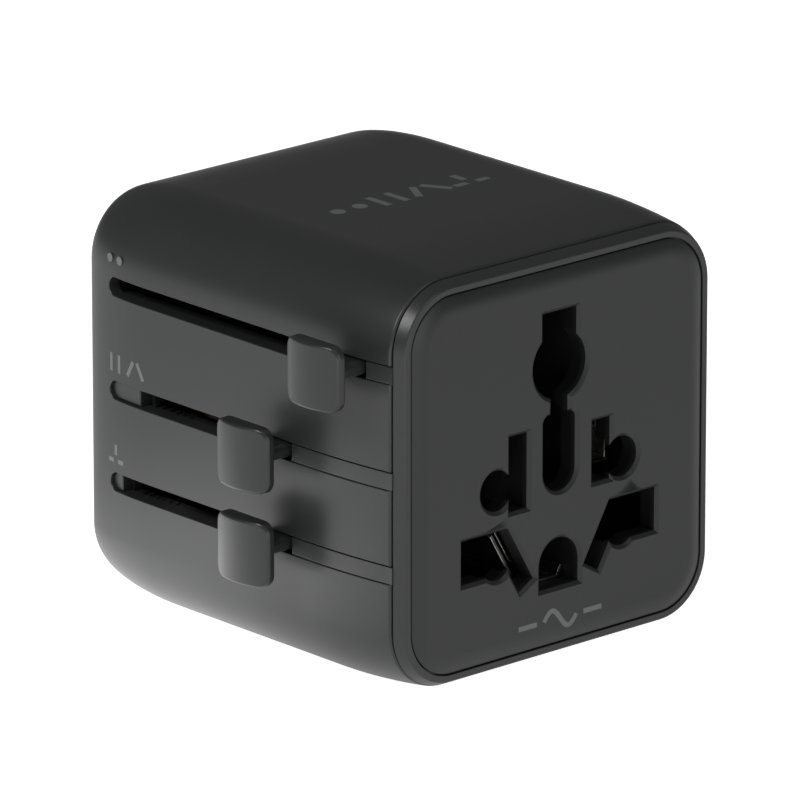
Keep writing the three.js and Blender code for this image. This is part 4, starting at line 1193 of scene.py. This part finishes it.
def build_floor(settings):
    """A white floor that glows, with a painted pool of stronger glow to the left of the object."""
    bm = bmesh.new()
    square = plain_rect(-FLOOR_HALF, FLOOR_HALF, -FLOOR_HALF, FLOOR_HALF)
    bm.faces.new([bm.verts.new((x, y, 0.0)) for x, y in square])
    floor = draft(bm, "floor")
    material = bpy.data.materials.new("pale_floor")
    material.use_nodes = True
    tree = material.node_tree
    shader = tree.nodes["Principled BSDF"]
    shader.inputs["Base Color"].default_value = (0.85, 0.85, 0.85, 1.0)
    shader.inputs["Roughness"].default_value = 0.8
    shader.inputs["Emission Strength"].default_value = 1.0
    seen = tree.nodes.new("ShaderNodeLightPath")
    coordinates = tree.nodes.new("ShaderNodeTexCoord")
    distance = tree.nodes.new("ShaderNodeVectorMath")
    distance.operation = "DISTANCE"
    distance.inputs[1].default_value = POOL_CENTRE
    tree.links.new(coordinates.outputs["Object"], distance.inputs[0])
    # painted pool of light: the floor's emission is stronger in a disc left of the object, so that patch of
    # floor glows like a lamp on the object
    pool = tree.nodes.new("ShaderNodeMapRange")
    pool.interpolation_type = "SMOOTHSTEP"
    pool.inputs["From Min"].default_value = settings.pool_radius
    pool.inputs["From Max"].default_value = 0.0
    pool.inputs["To Max"].default_value = settings.pool_glow
    tree.links.new(distance.outputs["Value"], pool.inputs["Value"])
    glow_with_painted_pool = arithmetic(tree, "ADD", pool.outputs["Result"], settings.floor_glow)
    glow = arithmetic(tree, "MAXIMUM", seen.outputs["Is Camera Ray"], glow_with_painted_pool)
    tree.links.new(glow, shader.inputs["Emission Color"])
    floor.data.materials.append(material)


def build_world(settings):
    """White to the camera, and a dimmer even light on the object."""
    world = bpy.data.worlds.new("studio")
    bpy.context.scene.world = world
    world.use_nodes = True
    tree = world.node_tree
    shown = tree.nodes.new("ShaderNodeLightPath")
    background = tree.nodes["Background"]
    background.inputs["Color"].default_value = (1.0, 1.0, 1.0, 1.0)
    span = arithmetic(tree, "MULTIPLY_ADD", shown.outputs["Is Camera Ray"], 1.0 - settings.sky_light)
    span.node.inputs[2].default_value = settings.sky_light
    tree.links.new(span, background.inputs["Strength"])


def build_camera(settings):
    """A long lens from the front left, a little above the object."""
    azimuth, elevation = settings.azimuth, settings.elevation
    right = Vector((math.cos(azimuth), math.sin(azimuth), 0.0))
    level = math.cos(elevation)
    back = Vector((math.sin(azimuth) * level, -math.cos(azimuth) * level, math.sin(elevation)))
    up = back.cross(right)
    data = bpy.data.cameras.new("camera")
    data.sensor_width = 36.0
    data.lens = settings.lens
    data.clip_start = 0.01
    data.clip_end = 20.0
    camera = bpy.data.objects.new("camera", data)
    camera.location = RING_CENTRE + right * CAMERA_ASIDE + up * CAMERA_ABOVE + back * settings.distance
    camera.rotation_mode = "QUATERNION"
    camera.rotation_quaternion = Matrix((right, up, back)).transposed().to_quaternion()
    bpy.context.scene.collection.objects.link(camera)
    bpy.context.scene.camera = camera


def build_lights(settings):
    """Four soft lights, placed from the middle of the object."""
    middle = (FRAME_BOX[0] + FRAME_BOX[1]) / 2
    rows = (
        ("high_left_light", (-0.4, 0.0, 0.35), 0.2, settings.left_power),
        ("front_light", (-0.05, -0.5, 0.06), 0.35, settings.front_power),
        ("low_front_light", (-0.16, -0.13, -0.016), 0.035, settings.rim_power),
        ("high_front_light", (0.0, -0.3, 0.5), 0.3, settings.overhead_power),
    )
    for name, offset, size, power in rows:
        area_light(name, middle + Vector(offset), middle, size, power)
    bpy.context.scene.view_settings.view_transform = "Standard"


# ------------------------------------------------------------------ settings


def length_property(name, description, default):
    """A length in metres."""
    return bpy.props.FloatProperty(
        name=name, description=description, default=default, min=0.0, unit="LENGTH", precision=5)


def colour_property(name, description, default):
    """A colour, in linear values."""
    return bpy.props.FloatVectorProperty(
        name=name, description=description, default=default, size=3, min=0.0, max=1.0, subtype="COLOR")


def number_property(name, description, default, unit="NONE"):
    """A positive number."""
    return bpy.props.FloatProperty(name=name, description=description, default=default, min=0.0, unit=unit)


def angle_property(name, description, degrees):
    """An angle, given in degrees and held in radians."""
    return bpy.props.FloatProperty(
        name=name, description=description, default=math.radians(degrees), subtype="ANGLE")


class AdapterCasing(bpy.types.PropertyGroup):
    """Edges and colours of the housing and its socket"""

    slot_edge: length_property("Slot edge", "Rounding of the side slots' edges", 0.00012)
    rim_round: length_property("Rim", "Rounding of the shell's front and rear rims", 0.0003)
    hole_edge: length_property("Hole edge", "Rounding of the openings' edges", 0.00007)
    chamfer_outside: length_property("Chamfer outside", "How far the chamfers widen the openings", 0.00016)
    chamfer_inside: length_property("Chamfer inside", "How far the chamfers narrow the openings", 0.0002)
    shell_colour: colour_property("Shell", "Colour of the shell and the ring", (0.029, 0.030, 0.0305))
    face_colour: colour_property("Face", "Colour of the plate and the rear closure", (0.017, 0.018, 0.018))
    inner_colour: colour_property("Inside", "Colour of the inner plastic pieces", (0.010, 0.010, 0.010))
    steel_colour: colour_property("Screws", "Colour of the screws", (0.35, 0.36, 0.37))


class AdapterKnobs(bpy.types.PropertyGroup):
    """Edges and colour of the thumb knobs"""

    edge_round: length_property("Edge", "Rounding of the thumb pads' edges", 0.00032)
    knob_colour: colour_property("Knob", "Colour of the knobs", (0.026, 0.027, 0.0275))


class AdapterPlugs(bpy.types.PropertyGroup):
    """Colours of the plug sets and what lies inside"""

    nickel_colour: colour_property("Pins", "Colour of the plated pins and contacts", (0.80, 0.79, 0.76))
    sleeve_colour: colour_property("Sleeves", "Colour of the insulating sleeves", (0.008, 0.008, 0.008))
    brass_colour: colour_property("Strips", "Colour of the rails, wipers and clips", (0.62, 0.45, 0.18))
    steel_colour: colour_property("Springs", "Colour of the latch springs", (0.45, 0.46, 0.47))
    ceramic_colour: colour_property("Fuse", "Colour of the fuse's body", (0.75, 0.73, 0.66))
    inner_colour: colour_property("Carriages", "Colour of the sliding blocks", (0.010, 0.010, 0.010))
    frame_colour: colour_property("Frame", "Colour of the inner frame", (0.029, 0.030, 0.0305))


class AdapterMarks(bpy.types.PropertyGroup):
    """The printed signs"""

    thickness: length_property("Thickness", "Thickness of the printed signs", 0.00002)
    colour: colour_property("Print", "Colour of the printed signs", (0.15, 0.155, 0.155))


class AdapterStage(bpy.types.PropertyGroup):
    """Camera, floor and lights"""

    azimuth: angle_property("Azimuth", "Camera's bearing round the object", -42.034)
    elevation: angle_property("Elevation", "Camera's height above the horizon", 17.597)
    distance: length_property("Distance", "From the ring's centre to the camera", 1.1468)
    lens: number_property("Lens", "Focal length in millimetres", 457.1, "CAMERA")
    floor_glow: number_property("Floor glow", "Light given off by the white floor", 0.48)
    # pool glow and pool radius set the painted pool of glow in the floor's emission
    pool_glow: number_property("Pool glow", "Extra light from the floor, left of the object", 1.7)
    pool_radius: length_property("Pool radius", "Reach of the floor's extra light", 0.052)
    sky_light: number_property("Sky", "Even light from all round", 0.13)
    left_power: number_property("High left light", "Power in watts", 1.1, "POWER")
    front_power: number_property("Front light", "Power in watts", 0.5, "POWER")
    rim_power: number_property("Low front light", "Power in watts", 0.02, "POWER")
    overhead_power: number_property("High front light", "Power in watts", 0.25, "POWER")


# ------------------------------------------------------------------ operators


class ADAPTER_OT_shell(bpy.types.Operator):
    """Build the housing's outer shell"""

    bl_idname = "adapter.shell"
    bl_label = "Shell"

    def execute(self, context):
        build_shell(context.scene.adapter_casing)
        return {"FINISHED"}


class ADAPTER_OT_collar(bpy.types.Operator):
    """Build the front ring and its slot tongues"""

    bl_idname = "adapter.collar"
    bl_label = "Front ring"

    def execute(self, context):
        build_collar(context.scene.adapter_casing)
        return {"FINISHED"}


class ADAPTER_OT_plate(bpy.types.Operator):
    """Build the socket plate with its openings"""

    bl_idname = "adapter.plate"
    bl_label = "Socket plate"

    def execute(self, context):
        build_socket_face(context.scene.adapter_casing)
        return {"FINISHED"}


class ADAPTER_OT_carrier(bpy.types.Operator):
    """Build the carrier behind the socket plate"""

    bl_idname = "adapter.carrier"
    bl_label = "Socket carrier"

    def execute(self, context):
        build_socket_carrier(context.scene.adapter_casing)
        return {"FINISHED"}


class ADAPTER_OT_rear(bpy.types.Operator):
    """Build the rear closure with its pin openings"""

    bl_idname = "adapter.rear"
    bl_label = "Rear closure"

    def execute(self, context):
        build_rear(context.scene.adapter_casing)
        return {"FINISHED"}


class ADAPTER_OT_screws(bpy.types.Operator):
    """Build the four screws of the rear closure"""

    bl_idname = "adapter.screws"
    bl_label = "Screws"

    def execute(self, context):
        build_screws(context.scene.adapter_casing)
        return {"FINISHED"}


class ADAPTER_OT_end_pads(bpy.types.Operator):
    """Build the pads at the rear ends of two slots"""

    bl_idname = "adapter.end_pads"
    bl_label = "Slot end pads"

    def execute(self, context):
        build_end_pads(context.scene.adapter_casing)
        return {"FINISHED"}


class ADAPTER_OT_ribs(bpy.types.Operator):
    """Build the catch ribs inside two of the slots"""

    bl_idname = "adapter.ribs"
    bl_label = "Catch ribs"

    def execute(self, context):
        build_ribs(context.scene.adapter_casing)
        return {"FINISHED"}


class ADAPTER_OT_knobs(bpy.types.Operator):
    """Build the three thumb knobs"""

    bl_idname = "adapter.knobs"
    bl_label = "Knobs"

    def execute(self, context):
        for word in PLUG_ROWS:
            build_knob(word, context.scene.adapter_knobs)
        return {"FINISHED"}


class ADAPTER_OT_round_pins(bpy.types.Operator):
    """Build the round pins and their sleeves"""

    bl_idname = "adapter.round_pins"
    bl_label = "Round pins"

    def execute(self, context):
        build_eu_pins(context.scene.adapter_plugs)
        return {"FINISHED"}


class ADAPTER_OT_blades(bpy.types.Operator):
    """Build the flat blades that turn"""

    bl_idname = "adapter.blades"
    bl_label = "Flat blades"

    def execute(self, context):
        build_us_blades(context.scene.adapter_plugs)
        return {"FINISHED"}


class ADAPTER_OT_softened(bpy.types.Operator):
    """Round the edges of the block pins, contacts and rails"""

    bl_idname = "adapter.softened"
    bl_label = "Block pins, contacts and rails"

    def execute(self, context):
        build_softened_copies(context.scene.adapter_plugs)
        return {"FINISHED"}


class ADAPTER_OT_springs(bpy.types.Operator):
    """Build the latch springs"""

    bl_idname = "adapter.springs"
    bl_label = "Latch springs"

    def execute(self, context):
        build_springs(context.scene.adapter_plugs)
        return {"FINISHED"}


class ADAPTER_OT_inner(bpy.types.Operator):
    """Give the pieces that keep their CAD shape their finishes"""

    bl_idname = "adapter.inner"
    bl_label = "Inner pieces"

    def execute(self, context):
        paint_inner_nodes(context.scene.adapter_plugs)
        return {"FINISHED"}


class ADAPTER_OT_marks(bpy.types.Operator):
    """Print the generic signs"""

    bl_idname = "adapter.marks"
    bl_label = "Signs"

    def execute(self, context):
        build_marks(context.scene.adapter_marks)
        return {"FINISHED"}


class ADAPTER_OT_stage(bpy.types.Operator):
    """Set up the floor, the lights and the camera"""

    bl_idname = "adapter.stage"
    bl_label = "Stage"

    def execute(self, context):
        settings = context.scene.adapter_stage
        build_floor(settings)
        build_world(settings)
        build_lights(settings)
        build_camera(settings)
        return {"FINISHED"}


OPERATORS = (
    ADAPTER_OT_stage, ADAPTER_OT_shell, ADAPTER_OT_collar, ADAPTER_OT_plate, ADAPTER_OT_carrier,
    ADAPTER_OT_rear, ADAPTER_OT_screws, ADAPTER_OT_end_pads, ADAPTER_OT_ribs, ADAPTER_OT_knobs,
    ADAPTER_OT_round_pins, ADAPTER_OT_blades, ADAPTER_OT_softened, ADAPTER_OT_springs,
    ADAPTER_OT_marks, ADAPTER_OT_inner,
)
SETTINGS = {
    "adapter_casing": AdapterCasing,
    "adapter_knobs": AdapterKnobs,
    "adapter_plugs": AdapterPlugs,
    "adapter_marks": AdapterMarks,
    "adapter_stage": AdapterStage,
}


class ADAPTER_PT_panel(bpy.types.Panel):
    """The adapter's settings and the operators that build it"""

    bl_idname = "ADAPTER_PT_panel"
    bl_label = "Travel adapter"
    bl_space_type = "VIEW_3D"
    bl_region_type = "UI"
    bl_category = "Adapter"

    def draw(self, context):
        for name, group in SETTINGS.items():
            column = self.layout.column(align=True)
            for field in group.__annotations__:
                column.prop(getattr(context.scene, name), field)
        for operator in OPERATORS:
            self.layout.operator(operator.bl_idname)


def register():
    """Registers every class and hangs the settings on the scene."""
    for group in (*SETTINGS.values(), *OPERATORS, ADAPTER_PT_panel):
        bpy.utils.register_class(group)
    for name, group in SETTINGS.items():
        setattr(bpy.types.Scene, name, bpy.props.PointerProperty(type=group))


def unregister():
    """Takes back what register() did."""
    for name in SETTINGS:
        delattr(bpy.types.Scene, name)
    for group in (ADAPTER_PT_panel, *reversed(OPERATORS), *reversed(SETTINGS.values())):
        bpy.utils.unregister_class(group)


def main():
    """Registers the add-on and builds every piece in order."""
    register()
    for operator in OPERATORS:
        getattr(bpy.ops.adapter, operator.bl_idname.split(".")[1])()


if __name__ == "__main__":
    main()
